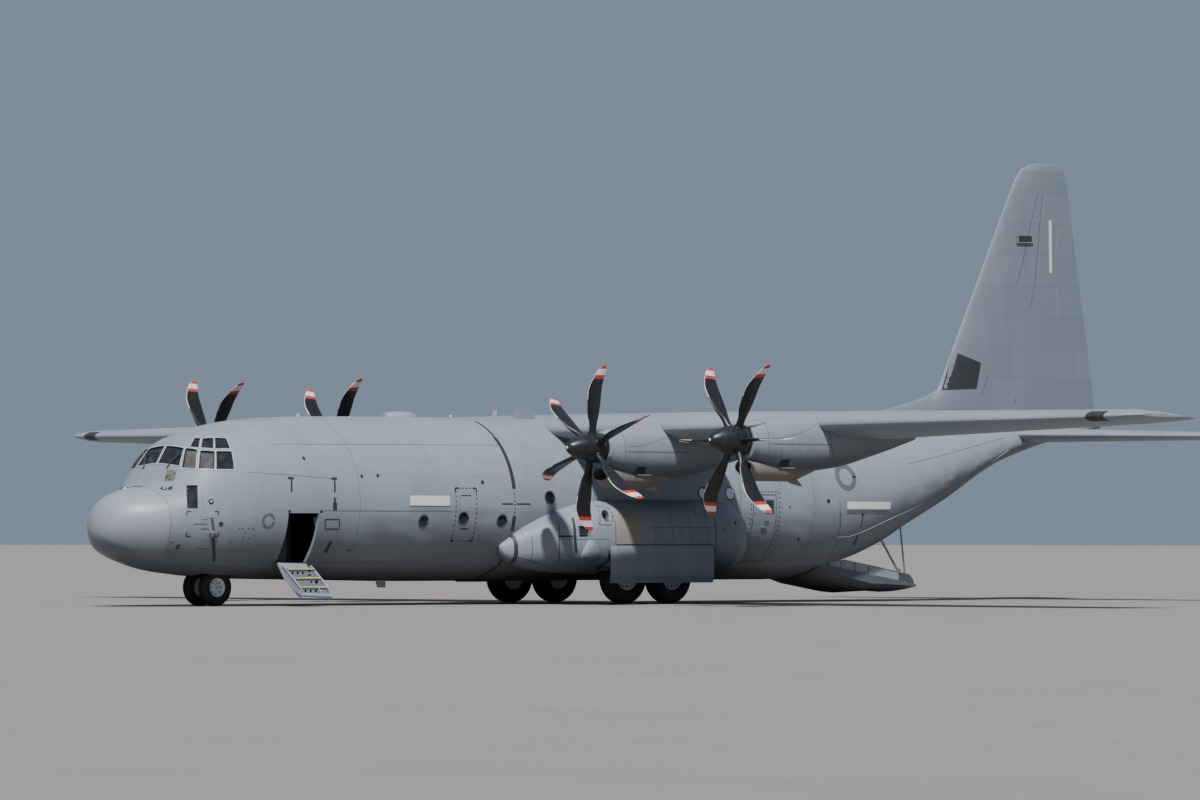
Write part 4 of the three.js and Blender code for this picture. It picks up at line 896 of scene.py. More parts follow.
def build_propeller(name, x, level, turn):
    body = f"propeller_{name}"
    profile = [between(SPINNER, d) for d in [0, 0.006, 0.02] + spread(0.045, 1.0, 0.05)]
    profile += [(1.02, 0.371), (1.03, 0.36), (1.03, 0.0)]
    tip = at(x, SPINNER_TIP, level)
    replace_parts(piece(f"spinner_{name}", *turned_shape(profile, tip, AFT), spinner_black, body), body)
    spot = turned_shape([(-0.003, 0), (0.002, 0.024), (0.012, 0.038), (0.02, 0)], tip, AFT, 24)
    piece(f"spinner_tip_{name}", *spot, band_white, body)
    grooves = []
    for d in (0.3, 0.95):
        r = between(SPINNER, d)[1]
        groove = [(d, r - 0.004), (d, r + 0.0012), (d + 0.008, r + 0.002), (d + 0.008, r - 0.004)]
        grooves.append(turned_shape(groove, tip, AFT, 64))
    piece(f"spinner_seams_{name}", *several(grooves), mid_mark, body, 30)

    radii, rings = blade_rings()
    centre = at(x, PROPELLER_STATION, level)
    shapes, collars, slots = [], [], []
    for k in range(BLADES):
        spin = Matrix.Rotation(-math.radians(turn + 360 / BLADES * k), 3, "Y")
        shapes.append(skin_of([[centre + spin @ Vector(p) * MODEL_SCALE for p in ring] for ring in rings]))
        for inner, outer in zip(radii, radii[1:]):
            middle = (inner + outer) / 2
            band = (0, 1, 2, 1)[sum(middle > limit for limit in BLADE_BANDS)]
            slots += [3 if middle > EDGE_START and 0.43 <= (j + 0.5) / BLADE_STEPS <= 0.57 else band
                      for j in range(BLADE_STEPS)]
        slots += [0, 1]
        collar = [(0.32, 0.1), (0.32, 0.118), (0.364, 0.114), (0.372, 0.1)]
        collars.append(turned_shape(collar, centre, spin @ Vector((1, 0, 0)), 24))
    blades = piece(f"blades_{name}", *several(shapes), blade_black, body, smooth_angle=60)
    for finish in (band_red, band_white, edge_pale):
        blades.data.materials.append(finish)
    blades.data.polygons.foreach_set("material_index", slots)
    piece(f"blade_collars_{name}", *several(collars), spinner_black, body)


scoop_paint = aircraft_paint("scoop_paint", (0.17, 0.155, 0.14), (0.8, 0.4), wrap="side", grime=0.7,
                             roughness=0.45, tone=0.1)
edge_pale = plain_finish("edge_pale", (0.62, 0.60, 0.52), 0.4, scale=25.0, vary=0.1)
for engine, engine_x, engine_z, engine_turn in ENGINES:
    build_nacelle(engine, engine_x, engine_z)
    build_scoop(engine, engine_x, engine_z)
    build_propeller(engine, engine_x, engine_z, engine_turn)


# Sponsons, gear doors and wheels

SPONSON = (
    # station, top, bottom, outer half width
    (11.06, 1.46, 1.36, 1.95), (11.12, 1.53, 1.21, 2.03), (11.25, 1.63, 1.08, 2.13),
    (11.5, 1.825, 0.96, 2.29), (11.9, 2.035, 0.87, 2.5), (12.4, 2.24, 0.81, 2.71), (13.0, 2.425, 0.775, 2.88),
    (13.6, 2.555, 0.755, 2.97), (14.2, 2.61, 0.745, 2.985), (17.4, 2.62, 0.745, 2.985),
    (18.25, 2.57, 0.79, 2.91), (18.7, 2.36, 1.0, 2.72), (18.9, 2.05, 1.3, 2.48),
)
SPONSON_INNER, SPONSON_POWER = 1.85, 2.6
GEAR_DOOR_OUTSIDE = ((0.53, 2.98), (0.8, 3.025), (1.15, 3.03), (1.4493, 2.982))
GEAR_DOOR_THICKNESS = 0.052
SPONSON_LINES = (
    # width, then (station, height) spots
    (0.014, [(11.72 + 0.05 * (z - 1.4) ** 2, z) for z in spread(1.0, 1.9, 0.1)]),
    (0.018, [(12.36 + 0.25 * (z - 1.5) ** 2, z) for z in spread(0.88, 2.18, 0.1)]),
    (0.014, [(s, 1.19 - 0.29 * (s - 11.36)) for s in spread(11.36, 12.6, 0.12)]),
    (0.010, [(s, 1.62) for s in spread(12.4, 13.78, 0.15)]),
    (0.016, [(13.98, z) for z in spread(1.5, 2.5, 0.1)]),
    (0.02, [(s, 1.485) for s in spread(14.0, 17.3, 0.3)]),
    (0.018, [(17.38, z) for z in spread(0.85, 2.5, 0.12)]),
    (0.014, [(18.64 - 0.05 * (z - 1.2), z) for z in spread(1.15, 2.2, 0.1)]),
    (0.010, [(s, 1.92) for s in spread(15.1, 17.36, 0.3)]),
)
SPONSON_PATCH = ((13.48, 1.98), (13.85, 1.97), (14.06, 2.38), (13.68, 2.44), (13.48, 1.98))
BULGE_HALF, BULGE_HEIGHT = 0.27, 0.12
MAIN_WHEEL = {"x": 2.17, "radius": 0.66, "half": 0.25, "rim": 0.3, "grooves": 5,
              "stations": (("fore", 14.93), ("aft", 16.46))}
NOSE_WHEEL = {"x": 0.3, "radius": 0.45, "half": 0.14, "rim": 0.215, "grooves": 4, "station": 3.39}


def sponson_ring(side, s, steps=22):
    _, top, bottom, outer = between(SPONSON, s)
    middle, half = (top + bottom) / 2, (top - bottom) / 2
    points = []
    for k in range(steps + 1):
        angle = math.pi / 2 - math.pi * k / steps
        reach = (outer - SPONSON_INNER) * rounded(max(math.cos(angle), 0), SPONSON_POWER)
        points.append((SPONSON_INNER + reach,
                       middle + half * rounded(math.sin(angle), SPONSON_POWER)))
    return [at(side * x, s, z) for x, z in points + [(1.9, bottom), (1.9, top)]]


def build_sponson(name, side):
    places = [11.06, 11.07, 11.09, 11.12, 11.16, 11.21, *spread(11.27, 13.6, 0.11), *spread(14.2, 17.4, 0.64),
              *spread(17.5, 18.6, 0.1), 18.66, 18.72, 18.78, 18.84, 18.88, 18.9]
    rings = [sponson_ring(side, s) for s in places]
    guide = Guide(*skin_of(rings))
    skin = piece(f"sponson_skin_{name}", *skin_of(rings), pod_paint)
    x1, (s0, s1) = WHEEL_BAY["x"][1], WHEEL_BAY["s"]
    intake_s, intake_z = (12.88, 13.22), (1.68, 1.95)

    def span(a, b):
        return sorted((side * a, side * b))

    def out(s, z):
        return guide.from_side(side, s, z, reach=5)

    mouth, facing = out(13.74, 2.2)

    def tall_round(profile):
        """Turned about the exhaust's mouth and stretched upwards."""
        points, faces = turned_shape(profile, mouth, facing, 32)
        return [Vector((p.x, p.y, mouth.z + (p.z - mouth.z) * 1.4)) for p in points], faces

    cut(skin, [
        box_shape(span(1.5, x1), (s0, s1), (-0.1, WHEEL_BAY["roof"])),
        box_shape(span(x1 - 0.2, 3.2), (s0, s1 - 0.12), (-0.1, WHEEL_BAY["skin_low"])),
        box_shape(span(2.6, 3.2), intake_s, intake_z), tall_round(drum(-0.3, 0.15, 0.1)),
    ])
    guide.shade(skin)
    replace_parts(skin, f"sponson_{name}")

    def line(spots, width, high=HAIR):
        return surface_path([out(s, z)[0] for s, z in spots], width, guide, high)

    def sheet(s, z, high, step=0.12):
        return slab([[out(a, b) for b in spread(*z, step)] for a in spread(*s, step)], -0.002, high)

    dark = [
        box_shape(span(2.605, 2.62), shrunk(intake_s, 0.01), shrunk(intake_z, 0.01)),
        line([(12.76 + 0.06 * (2 * t - 1) ** 2, 2.15 - 0.87 * t) for t in spread(0, 1, 0.1)], 0.07, 0.006),
        line([(s, 1.69) for s in spread(12.33, 12.72, 0.1)], 0.045), tall_round(drum(-0.22, -0.2, 0.12)),
        sheet((18.1, 18.16), (2.0, 2.08), 0.003, 0.03), sheet((17.62, 17.67), (1.83, 1.9), 0.003, 0.03),
        surface_path(sponson_ring(side, 11.36, 40)[3:38], 0.1, guide, 0.005),
    ]
    piece(f"sponson_dark_{name}", *several(dark), dark_mark)
    seams = [line(spots, width) for width, spots in SPONSON_LINES]
    seams += [line(along_line(a, b, spread(0, 1, 0.25)), 0.02)
              for a, b in zip(SPONSON_PATCH, SPONSON_PATCH[1:])]
    piece(f"sponson_seams_{name}", *several(seams), dark_mark)
    ribs = [line([(s, z) for z in spread(1.52, 2.42, 0.1)], 0.03, 0.009) for s in spread(15.3, 17.1, 0.3)]
    piece(f"sponson_ribs_{name}", *several(ribs), pod_paint)
    # a lighter, warmer sheet behind the exhaust: a heat stain, with painted sunlight on it
    piece(f"sponson_stained_sunlit_panel_{name}", *sheet((14.02, 14.86), (1.5, 2.5), 0.004), stain_and_sunlight_paint)
    rim = tall_round([(-0.03, 0.099), (0.02, 0.105), (0.025, 0.118), (-0.01, 0.125), (-0.03, 0.12)])
    piece(f"sponson_exhaust_rim_{name}", *rim, dull_metal)
    louvres = [box_shape(span(2.66, 2.80), (12.9, 13.2), (z, z + 0.014)) for z in spread(1.72, 1.91, 0.045)]
    piece(f"sponson_louvres_{name}", *several(louvres), mid_mark, smooth_angle=0)

    bulge = []
    for t in spread(0, 1, 1 / 16):
        swell = math.sin(math.pi * t ** 0.8) if t < 0.42 else 1 - 0.86 * ((t - 0.42) / 0.58) ** 1.6
        half = max(BULGE_HALF * swell if 0 < t < 1 else 0.0, 0.002)
        proud = BULGE_HEIGHT * MODEL_SCALE * half / BULGE_HALF
        bulge.append([out(13.24 - 0.04 * t - half * math.cos(b), 0.93 + 0.69 * t)[0]
                      + Vector((side * (proud * math.sin(b) ** 0.8 - 0.004), 0, 0))
                      for b in spread(0, math.pi, math.pi / 14)])
    piece(f"sponson_bulge_{name}", *skin_of(bulge, caps=False, closed=False), pod_paint, smooth_angle=60)


def build_gear_door(name, side):
    outline = [(between(GEAR_DOOR_OUTSIDE, z)[1], z) for z in spread(0.53, 1.4493, 0.06)]
    outline += [(x - GEAR_DOOR_THICKNESS, z) for x, z in outline[::-1]]
    rings = [on_side(side, [(x, s, z) for x, z in outline]) for s in spread(13.81, 17.27, 0.7)]
    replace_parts(piece(f"gear_door_skin_{name}", *skin_of(rings), pod_paint), f"main_gear_door_{name}")
    stiff = [box_shape(sorted((side * 2.93, side * 2.972)), (s, s + 0.05), (0.6, 1.42))
             for s in (14.2, 15.3, 16.4, 17.1)]
    piece(f"gear_door_ribs_{name}", *several(stiff), bay_paint, smooth_angle=0)
    hooks = [bar_shape(on_side(side, ((2.96, 13.86, 1.1), (2.86, 13.92, 0.95), (2.86, 13.95, 0.7))), 0.022),
             turned_shape(drum(0, 0.03, 0.05), at(side * 2.93, 13.84, 0.98), (side, 0, 0), 20)]
    piece(f"gear_door_link_{name}", *several(hooks), bare_metal)


TYRE_POWER, TREAD_DEPTH = 2.7, 0.012


def tyre_profile(radius, rim, half, grooves):
    middle, tall = (radius + rim) / 2, (radius - rim) / 2
    points = []
    for angle in turns(56):
        w, h = half * rounded(math.cos(angle), TYRE_POWER), tall * rounded(math.sin(angle), TYRE_POWER)
        points.append((w * (1 - 0.12 * max(-h / tall, 0)), middle + h))
    top = [p for p in points if p[1] > radius - 0.004]
    edge = max(p[0] for p in top)
    tread = []
    for k in range(grooves):
        w = edge * (0.85 - 1.7 * k / (grooves - 1))
        tread += [(w + 0.012, radius), (w + 0.008, radius - TREAD_DEPTH), (w - 0.008, radius - TREAD_DEPTH),
                  (w - 0.012, radius)]
    first = points.index(top[0])
    return points[:first] + tread + points[first + len(top):] + points[:1]


def wheel_shapes(centre, out, size, bolts=10):
    radius, rim, half = size["radius"], size["rim"], size["half"]
    tyre = turned_shape(tyre_profile(radius, rim - 0.006, half, size["grooves"]), centre, out, 72)
    bead = half * 0.72
    dish = [(-0.5 * half, 0.25 * rim), (-0.5 * half, 0.6 * rim), (-bead, rim * 0.97),
            (-bead - 0.012, rim + 0.012), (-bead - 0.004, rim + 0.016), (bead + 0.004, rim + 0.016),
            (bead + 0.012, rim + 0.012),
            (bead, rim * 0.96), (bead * 0.8, rim * 0.9), (0.34 * half, rim * 0.84), (0.26 * half, rim * 0.72),
            (0.3 * half, rim * 0.52), (0.5 * half, rim * 0.42), (0.62 * half, rim * 0.38),
            (0.62 * half, rim * 0.25), (0.2 * half, rim * 0.25)]
    hub = turned_shape(dish + dish[:1], centre, out, 60)
    knob = [(0.3 * half, 0), (0.3 * half, rim * 0.24), (0.66 * half, rim * 0.24), (0.72 * half, rim * 0.2),
            (0.74 * half, 0)]
    caps, holes = [turned_shape(knob, centre, out, 32)], []
    nut = [(0.3 * half, 0), (0.3 * half, 0.017), (0.44 * half, 0.017), (0.46 * half, 0)]
    _, u, v = frame_along(out)

    def away(turn, reach):
        angle = 2 * math.pi * turn / bolts
        return centre + (u * math.cos(angle) + v * math.sin(angle)) * MODEL_SCALE * rim * reach

    for k in range(bolts):
        caps.append(turned_shape(nut, away(k + 0.5, 0.47), out, 6))
        holes.append(turned_shape(drum(0.2 * half, 0.31 * half, 0.026), away(k, 0.74), out, 16))
    return tyre, hub, several(caps), several(holes)


def build_wheel(prefix, tag, body, side, size, station, bolts, replaced):
    centre = at(side * size["x"], station, size["radius"])
    tyre, hub, cap, holes = wheel_shapes(centre, (side, 0, 0), size, bolts)
    made = [piece(f"{prefix}{part}_{tag}", *shape, finish, body, 35) for part, shape, finish in (
        ("tyre", tyre, rubber), ("hub", hub, hub_white), ("hub_cap", cap, bare_metal),
        ("hub_holes", holes, dark_mark))]
    for obj, cad in zip(made, replaced):
        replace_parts(obj, cad)


def build_wheels():
    for name, side in SIDES:
        for place, station in MAIN_WHEEL["stations"]:
            tag = f"{name}_{place}"
            build_wheel("", tag, f"main_wheel_{tag}", side, MAIN_WHEEL, station, 10,
                        (f"main_tyre_{tag}", f"main_rim_{tag}"))
        build_wheel("nose_", name, "nose_wheels", side, NOSE_WHEEL, NOSE_WHEEL["station"], 8,
                    (f"nose_wheel_{name}",))


# a heat stain and painted sunlight: lighter and warmer than the skin's grey, for the panel that the sun
# lights
stain_and_sunlight_paint = aircraft_paint("stain_and_sunlight_paint", (0.30, 0.27, 0.235), (0.55, 0.55), wrap="side", grime=0.8,
                              line=0.2, tone=0.04)
for side_name, side_sign in SIDES:
    build_sponson(side_name, side_sign)
    build_gear_door(side_name, side_sign)
build_wheels()


# Windows: panes with their frames, round windows, and the doors closed behind the wing

FRAME_WIDTH = 0.034
WIPER = ((0.49, 1.80, 3.30), (0.45, 1.80, 3.34), (0.54, 1.90, 3.49), (0.67, 2.02, 3.66))


def side_spot(side, s, z):
    """A place on the side of the skin and the normal there, far enough forward for the blunt nose too."""
    return hull_guide.from_side(side, s, z) or hull_guide.nearest(at(side, s, z))[:2]


def bilinear(corners, u, v):
    a, b, c, d = corners
    return (a * (1 - u) + b * u) * (1 - v) + (d * (1 - u) + c * u) * v


def patch_rows(side, corners, parts=spread(0, 1, 1 / 6)):
    """Rows of places on the skin over a patch with four corners."""
    points = on_side(side, corners)
    return [[hull_guide.nearest(bilinear(points, u, v))[:2] for v in parts] for u in parts]


def grown(corners, more):
    """Pane corners moved outwards from the pane's middle, in metres."""
    middle = [sum(c[k] for c in corners) / 4 for k in range(3)]
    out = []
    for corner in corners:
        away = Vector([corner[k] - middle[k] for k in range(3)])
        out.append(tuple(Vector(corner) + away.normalized() * more))
    return out


def build_panes():
    glass, frames, edges = [], [], []
    for name, corners in PANES.items():
        for _, side in SIDES:
            glass.append(slab(patch_rows(side, grown(corners, 0.012)), -0.028, -0.016))
            outer, inner = on_side(side, grown(corners, 0.028)), on_side(side, grown(corners, 0.002))
            for k, n in ((0, 1), (1, 2), (2, 3), (3, 0)):
                if name != "low_side":
                    spots = [outer[k].lerp(outer[n], t) for t in spread(-0.02, 1.02, 0.13)]
                    frames.append(surface_path(spots, FRAME_WIDTH, high=0.010))
                spots = [inner[k].lerp(inner[n], t) for t in spread(0, 1, 0.13)]
                edges.append(surface_path(spots, 0.012, high=0.0125, low=-0.02))
    panes = piece("flight_deck_panes", *several(glass), window_glass)
    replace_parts(panes, "flight_deck_glass")
    piece("pane_frames", *several(frames), frame_paint, smooth_angle=30)
    piece("pane_seals", *several(edges), dark_mark, smooth_angle=30)
    for name, side in SIDES:
        for pane, tone in (("corner_lower", sun_blind), ("side_lower_fore", mauve_blind)):
            blind = slab(patch_rows(side, grown(PANES[pane], -0.02)), -0.060, -0.052)
            piece(f"{pane}_blind_{name}", *blind, tone)
        arm = []
        for p in on_side(side, WIPER):
            place, normal, _ = hull_guide.nearest(p)
            arm.append(place + normal * 0.012)
        piece(f"wiper_{name}", *several([bar_shape(arm, 0.014, 8), bar_shape(arm[2:], 0.024, 8)]), dark_mark)


def round_patch(side, s, z, radius, low=SUNK, high=HAIR, inner=0.0, count=36):
    """A disc or ring that follows the fuselage side."""
    return slab([[hull_guide.from_side(side, s + r * math.cos(a), z + r * math.sin(a), reach=5)
                  for a in turns(count, 1)]
                 for r in ([inner, radius] if inner else [0.001, radius * 0.5, radius])], low, high)


def build_round_windows():
    glass, rings, seals, covers = [], [], [], []
    r = WINDOW_RADIUS
    for _, side in SIDES:
        for spot in ROUND_WINDOWS:
            glass.append(round_patch(side, *spot, r + 0.01, -0.03, -0.02))
            rings.append(round_patch(side, *spot, r + 0.03, high=0.005, inner=r))
            seals.append(round_patch(side, *spot, r + 0.004, -0.03, 0.003, inner=r - 0.018))
        rings.append(round_patch(side, *PAINTED_WINDOW, r + 0.02, high=0.006, inner=r - 0.01))
        covers.append(round_patch(side, *PAINTED_WINDOW, r - 0.005, high=0.004))
        covers.append(round_patch(side, *BLANKED_WINDOW, r - 0.02, -0.016, -0.008))
    piece("round_window_glass", *several(glass), window_glass)
    piece("round_window_rings", *several(rings), mid_mark, smooth_angle=30)
    piece("round_window_seals", *several(seals), dark_mark, smooth_angle=30)
    piece("window_covers", *several(covers), blank_paint)


def build_paratroop_doors():
    (s0, s1), (z0, z1) = PARATROOP_DOOR["s"], PARATROOP_DOOR["z"]
    window_s, window_z = (s0 + 0.44, s0 + 0.72), (z1 - 0.46, z1 - 0.13)
    corners = [(window_s[a], window_z[b]) for a, b in ((0, 0), (1, 0), (1, 1), (0, 1), (0, 0))]
    for name, side in SIDES:
        rows = [[side_spot(side, s, z) for z in spread(*shrunk((z0, z1), 0.006), 0.08)]
                for s in spread(*shrunk((s0, s1), 0.006), 0.4)]
        door = piece(f"paratroop_door_skin_{name}", *slab(rows, -0.05, 0.0), skin_paint)
        hull_guide.shade(door)
        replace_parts(door, f"paratroop_door_{name}")
        glass = side_patch(side, window_s, window_z, high=0.002, step=0.06)
        piece(f"paratroop_door_window_{name}", *glass, cabin_glass)

        def line(spots, width, high=HAIR):
            return surface_path([side_spot(side, s, z)[0] for s, z in spots], width, high=high)

        frames = [line(along_line(a, b, (-0.05, 0.5, 1.05)), 0.03, 0.006)
                  for a, b in zip(corners, corners[1:])]
        frames.append(side_patch(side, (s0 + 0.42, s0 + 0.58), (1.98, 2.1), high=0.006, step=0.05))
        piece(f"paratroop_door_frame_{name}", *several(frames), mid_mark, smooth_angle=30)
        grip = [side_spot(side, s0 + reach, 1.95)[0] + Vector((side * 0.012, 0, 0)) for reach in (0.3, 0.5)]
        piece(f"paratroop_door_grip_{name}", *bar_shape(grip, 0.012, 8), bare_metal)
        rim = [line([(s, z) for s in spread(s0, s1, 0.1)], 0.02) for z in (z1, z0)]
        rim += [line([(s, z) for z in spread(z0, z1, 0.1)], 0.014) for s in (s0, s1)]
        piece(f"paratroop_door_seam_{name}", *several(rim), dark_mark)


PAINTED_WINDOW, BLANKED_WINDOW = (18.64, 2.79), (17.70, 2.79)
blank_paint = plain_finish("blank_paint", (0.62, 0.68, 0.76), 0.4, scale=20.0, vary=0.1)
build_panes()
build_round_windows()
build_paratroop_doors()


# Painted marks, seams and small fittings on the fuselage side

# Rows are a width and then (station, height) spots, with the height over the skin where it isn't a hair
STROKE = 0.1  # length of the strokes of a corner mark


def corner_mark(width, s, z, way_s, way_z):
    return [(width, ((s, z), (s + way_s * STROKE, z))), (width, ((s, z), (s, z + way_z * STROKE)))]


DARK_LINES = (
    (0.07, ((2.26, 1.66), (2.36, 1.4), (2.5, 1.1), (2.57, 0.99)), 0.006),
    (0.1, ((5.66, 1.57), (5.645, 1.5), (5.63, 1.43), (5.615, 1.36), (5.6, 1.29)), 0.005),
    (0.06, ((5.61, 2.62), (5.61, 2.5))), (0.12, ((5.61, 2.5), (5.62, 2.31))),
    (0.03, ((5.34, 2.09), (5.79, 2.09), (5.81, 1.86), (5.38, 1.86), (5.34, 2.09))),
    (0.025, ((9.62, 2.69), (9.94, 2.69))), (0.035, ((9.66, 1.88), (9.92, 1.88))),
    (0.035, ((10.94, 2.49), (11.3, 2.49))), (0.035, ((11.42, 2.49), (11.87, 2.49))),
    *[(0.06, ((s - 0.1, 3.08), (s + 0.08, 3.08))) for s in (4.35, 5.66)],
    *[(0.05, ((s, 3.05), (s - 0.04, 2.74))) for s in (4.35, 5.66)],
    *[(0.06, ((s - 0.04, 2.28), (s + 0.04, 2.28))) for s in (4.24, 5.2)],
    *[line for mark in (
        (0.03, 1.61, 2.27, 1, -1), (0.03, 2.34, 2.27, -1, -1), (0.03, 1.63, 1.68, 1, 1),
        (0.03, 2.38, 1.68, -1, 1), (0.045, 9.45, 2.87, 1, -1), (0.045, 10.12, 2.87, -1, -1),
        (0.045, 10.12, 1.57, -1, 1),
        (0.045, 9.45, 1.57, 1, 1)) for line in corner_mark(*mark)],
)
GREY_LINES = (
    (0.03, ((1.77, 1.97), (2.08, 1.97))), (0.025, ((1.95, 2.08), (2.1, 2.08))),
    (0.03, ((1.94, 1.86), (2.12, 1.86))),
    (0.03, ((1.94, 1.39), (2.26, 1.39))), (0.03, ((1.28, 1.54), (1.39, 1.54))),
    *[(0.035, ((s - 0.025, z), (s + 0.025, z))) for s, z in (
        (2.89, 1.86), (2.98, 1.86), (3.14, 1.87), (3.26, 1.86), (3.05, 1.77), (3.03, 1.66), (3.2, 1.65),
        (3.32, 1.71), (2.73, 1.56), (3.02, 1.57), (2.91, 1.33), (3.1, 1.38))],
    *[(0.016, spots) for spots in (
        ((4.2, 3.9), (11.3, 3.95)), ((3.2, 3.22), (5.6, 3.08)), ((5.3, 2.3), (9.3, 2.31)),
        ((22.6, 1.66), (23.1, 1.7), (23.5, 1.86)), ((22.5, 2.64), (22.56, 1.7)), ((5.3, 1.05), (10.6, 1.03)),
        ((25.2, 3.6), (29.5, 4.35)))],
)
DASHED_LINES = (
    # width, length of a dash with its gap, the part that is painted, spots
    (0.028, 0.12, 0.45, ((9.45, 2.87), (10.12, 2.87), (10.12, 1.57), (9.45, 1.57), (9.45, 2.87))),
    (0.028, 0.12, 0.45, ((19.36, 2.84), (20.34, 2.84), (20.34, 1.03), (19.36, 1.03), (19.36, 2.84))),
    (0.028, 0.09, 0.6, ((11.36, 2.76), (11.36, 2.22))),
    (0.02, 0.12, 0.4, ((20.42, 3.3), (20.4, 2.1), (20.5, 1.2))),
)
# station, height, radius
DARK_DOTS = (
    (2.41, 1.97, 0.06), (1.51, 1.43, 0.06), (6.53, 3.14, 0.045), (7.04, 3.16, 0.045), (4.9, 3.56, 0.05),
    (10.36, 3.02, 0.055), (22.1, 2.61, 0.06), (21.2, 1.62, 0.045), (20.72, 2.45, 0.03), (6.3, 1.35, 0.035),
)
RING_PLACES = ((22.83, 3.24, 0.36), (3.66, 2.05, 0.19))
# stations, heights
PALE_PATCHES = (((7.98, 9.25), (2.44, 2.68)), ((22.78, 24.4), (2.41, 2.6)))
GREY_PATCHES = (((7.96, 9.27), (2.41, 2.435)), ((22.76, 24.42), (2.28, 2.395)))
# degrees from the crown, width, all at the propellers' station
PROPELLER_LINE = 11.36
DARK_HOOPS = ((40, 80, 0.11), (17, 40, 0.07), (98, 108, 0.11), (126, 160, 0.09))
SEAM_HOOPS = (6.4, 14.0, 19.0, 21.6)


def side_line(side, spots, width, high=HAIR):
    """A painted line through (station, height) spots on the fuselage side."""
    fine = []
    for a, b in zip(spots, spots[1:]):
        count = max(1, math.ceil(math.dist(a, b) / 0.15))
        fine += along_line(a, b, [k / count for k in range(count)])
    return surface_path([side_spot(side, s, z)[0] for s, z in (*fine, spots[-1])], width, high=high)


def hoop(s, start, end, width, high=HAIR, count=40, centre=2.49):
    """A painted band round the fuselage at one station, between two angles from the crown in degrees."""
    points = []
    for k in range(count + 1):
        a = math.radians(start + (end - start) * k / count)
        out = Vector((math.sin(a), 0, math.cos(a)))
        points.append(hull_guide.along(at(0, s, centre) + out * 4, -out)[0])
    return surface_path(points, width, high=high)


def dashes(spots, step, part):
    """Short pieces of the lines through the spots."""
    out = []
    for a, b in zip(spots, spots[1:]):
        count = max(1, round(math.dist(a, b) / step))
        out += [along_line(a, b, (k / count, (k + part) / count)) for k in range(count)]
    return out


def build_marks():
    dark, mid, pale, rings = [], [], [], []
    for _, side in SIDES:
        dark += [side_line(side, spots, width, *high) for width, spots, *high in DARK_LINES]
        dark += [side_line(side, dash, width) for width, step, part, spots in DASHED_LINES
                 for dash in dashes(spots, step, part)]
        dark += [round_patch(side, s, z, r, count=16) for s, z, r in DARK_DOTS]
        dark += [hoop(PROPELLER_LINE, side * start, side * end, width) for start, end, width in DARK_HOOPS]
        mid += [side_line(side, spots, width) for width, spots in GREY_LINES]
        mid += [side_patch(side, s, z) for s, z in GREY_PATCHES]
        mid += [hoop(s, side * 8, side * 160, 0.012) for s in SEAM_HOOPS]
        pale += [side_patch(side, s, z, high=0.004) for s, z in PALE_PATCHES]
        rings += [round_patch(side, s, z, r, inner=r * 0.62, count=48) for s, z, r in RING_PLACES]
    piece("dark_marks", *several(dark), dark_mark)
    piece("grey_marks", *several(mid), mid_mark)
    piece("pale_strips", *several(pale), pale_strip)
    piece("plain_rings", *several(rings), mid_mark)


SMALL_PANE = ((0.58, 1.64, 3.0), (0.87, 1.69, 3.01), (0.81, 1.84, 3.26), (0.48, 1.78, 3.26))
ANTENNAS = (
    # x, thickness at model scale, (station, height) outline
    (0.012, -0.012, ((12.42, 4.6), (12.6, 4.6), (12.62, 4.86), (12.54, 4.87))),
    (0.3, -0.016, ((8.43, 0.66), (8.75, 0.66), (8.75, 0.42), (8.5, 0.43))),
    (0.012, -0.014, ((6.05, 0.64), (6.35, 0.64), (6.3, 0.5), (6.15, 0.5))),
)
DOME_START, DOME_HALF, CROWN = 8.94, 0.31, 4.62
DOME = (
    # part of its length, height
    (0, 0), (0.01, 0.06), (0.06, 0.1), (0.2, 0.125), (0.5, 0.135), (0.8, 0.125), (0.94, 0.1), (0.99, 0.06),
    (1, 0),
)


def lamp_place(side, x, s, z):
    return hull_guide.nearest(at(side * x, s, z))[:2]


def build_nose_fittings(name, side):
    tubes = []
    for s, z in ((2.17, 2.14), (2.15, 1.83)):
        foot, normal = side_spot(side, s, z)
        tip = foot + normal * 0.11
        tubes.append(bar_shape([foot - normal * 0.005, tip], 0.035))
        tubes.append(bar_shape([tip + Vector((0, ahead, 0)) for ahead in (0.03, -0.03, -0.13)],
                               [0.028, 0.026, 0.014]))
    piece(f"probes_{name}", *several(tubes), bare_metal)
    lamp = [(-0.02, 0), (-0.02, 0.06), (0.025, 0.055), (0.035, 0.045), (0.02, 0.035), (0.015, 0)]
    piece(f"nose_light_{name}", *turned_shape(lamp, *lamp_place(side, 0.77, 1.49, 2.82), 28), bare_metal)
    vane = side_spot(side, 2.17, 2.51)
    small = [turned_shape([(-0.01, 0), (-0.01, low), (end, high), (0.012, 0)], *spot, sides)
             for low, end, high, spot, sides in (
                 (0.065, 0.012, 0.06, lamp_place(side, 0.9, 1.57, 2.82), 20),
                 (0.1, 0.01, 0.095, lamp_place(side, 0.75, 1.48, 2.82), 28), (0.07, 0.01, 0.065, vane, 20))]
    piece(f"nose_light_dark_{name}", *several(small), dark_mark)
    stalk = turned_shape([(0, 0), (0, 0.032), (0.03, 0.03), (0.036, 0)], *vane, 20)
    piece(f"angle_vane_{name}", *stalk, frame_paint)


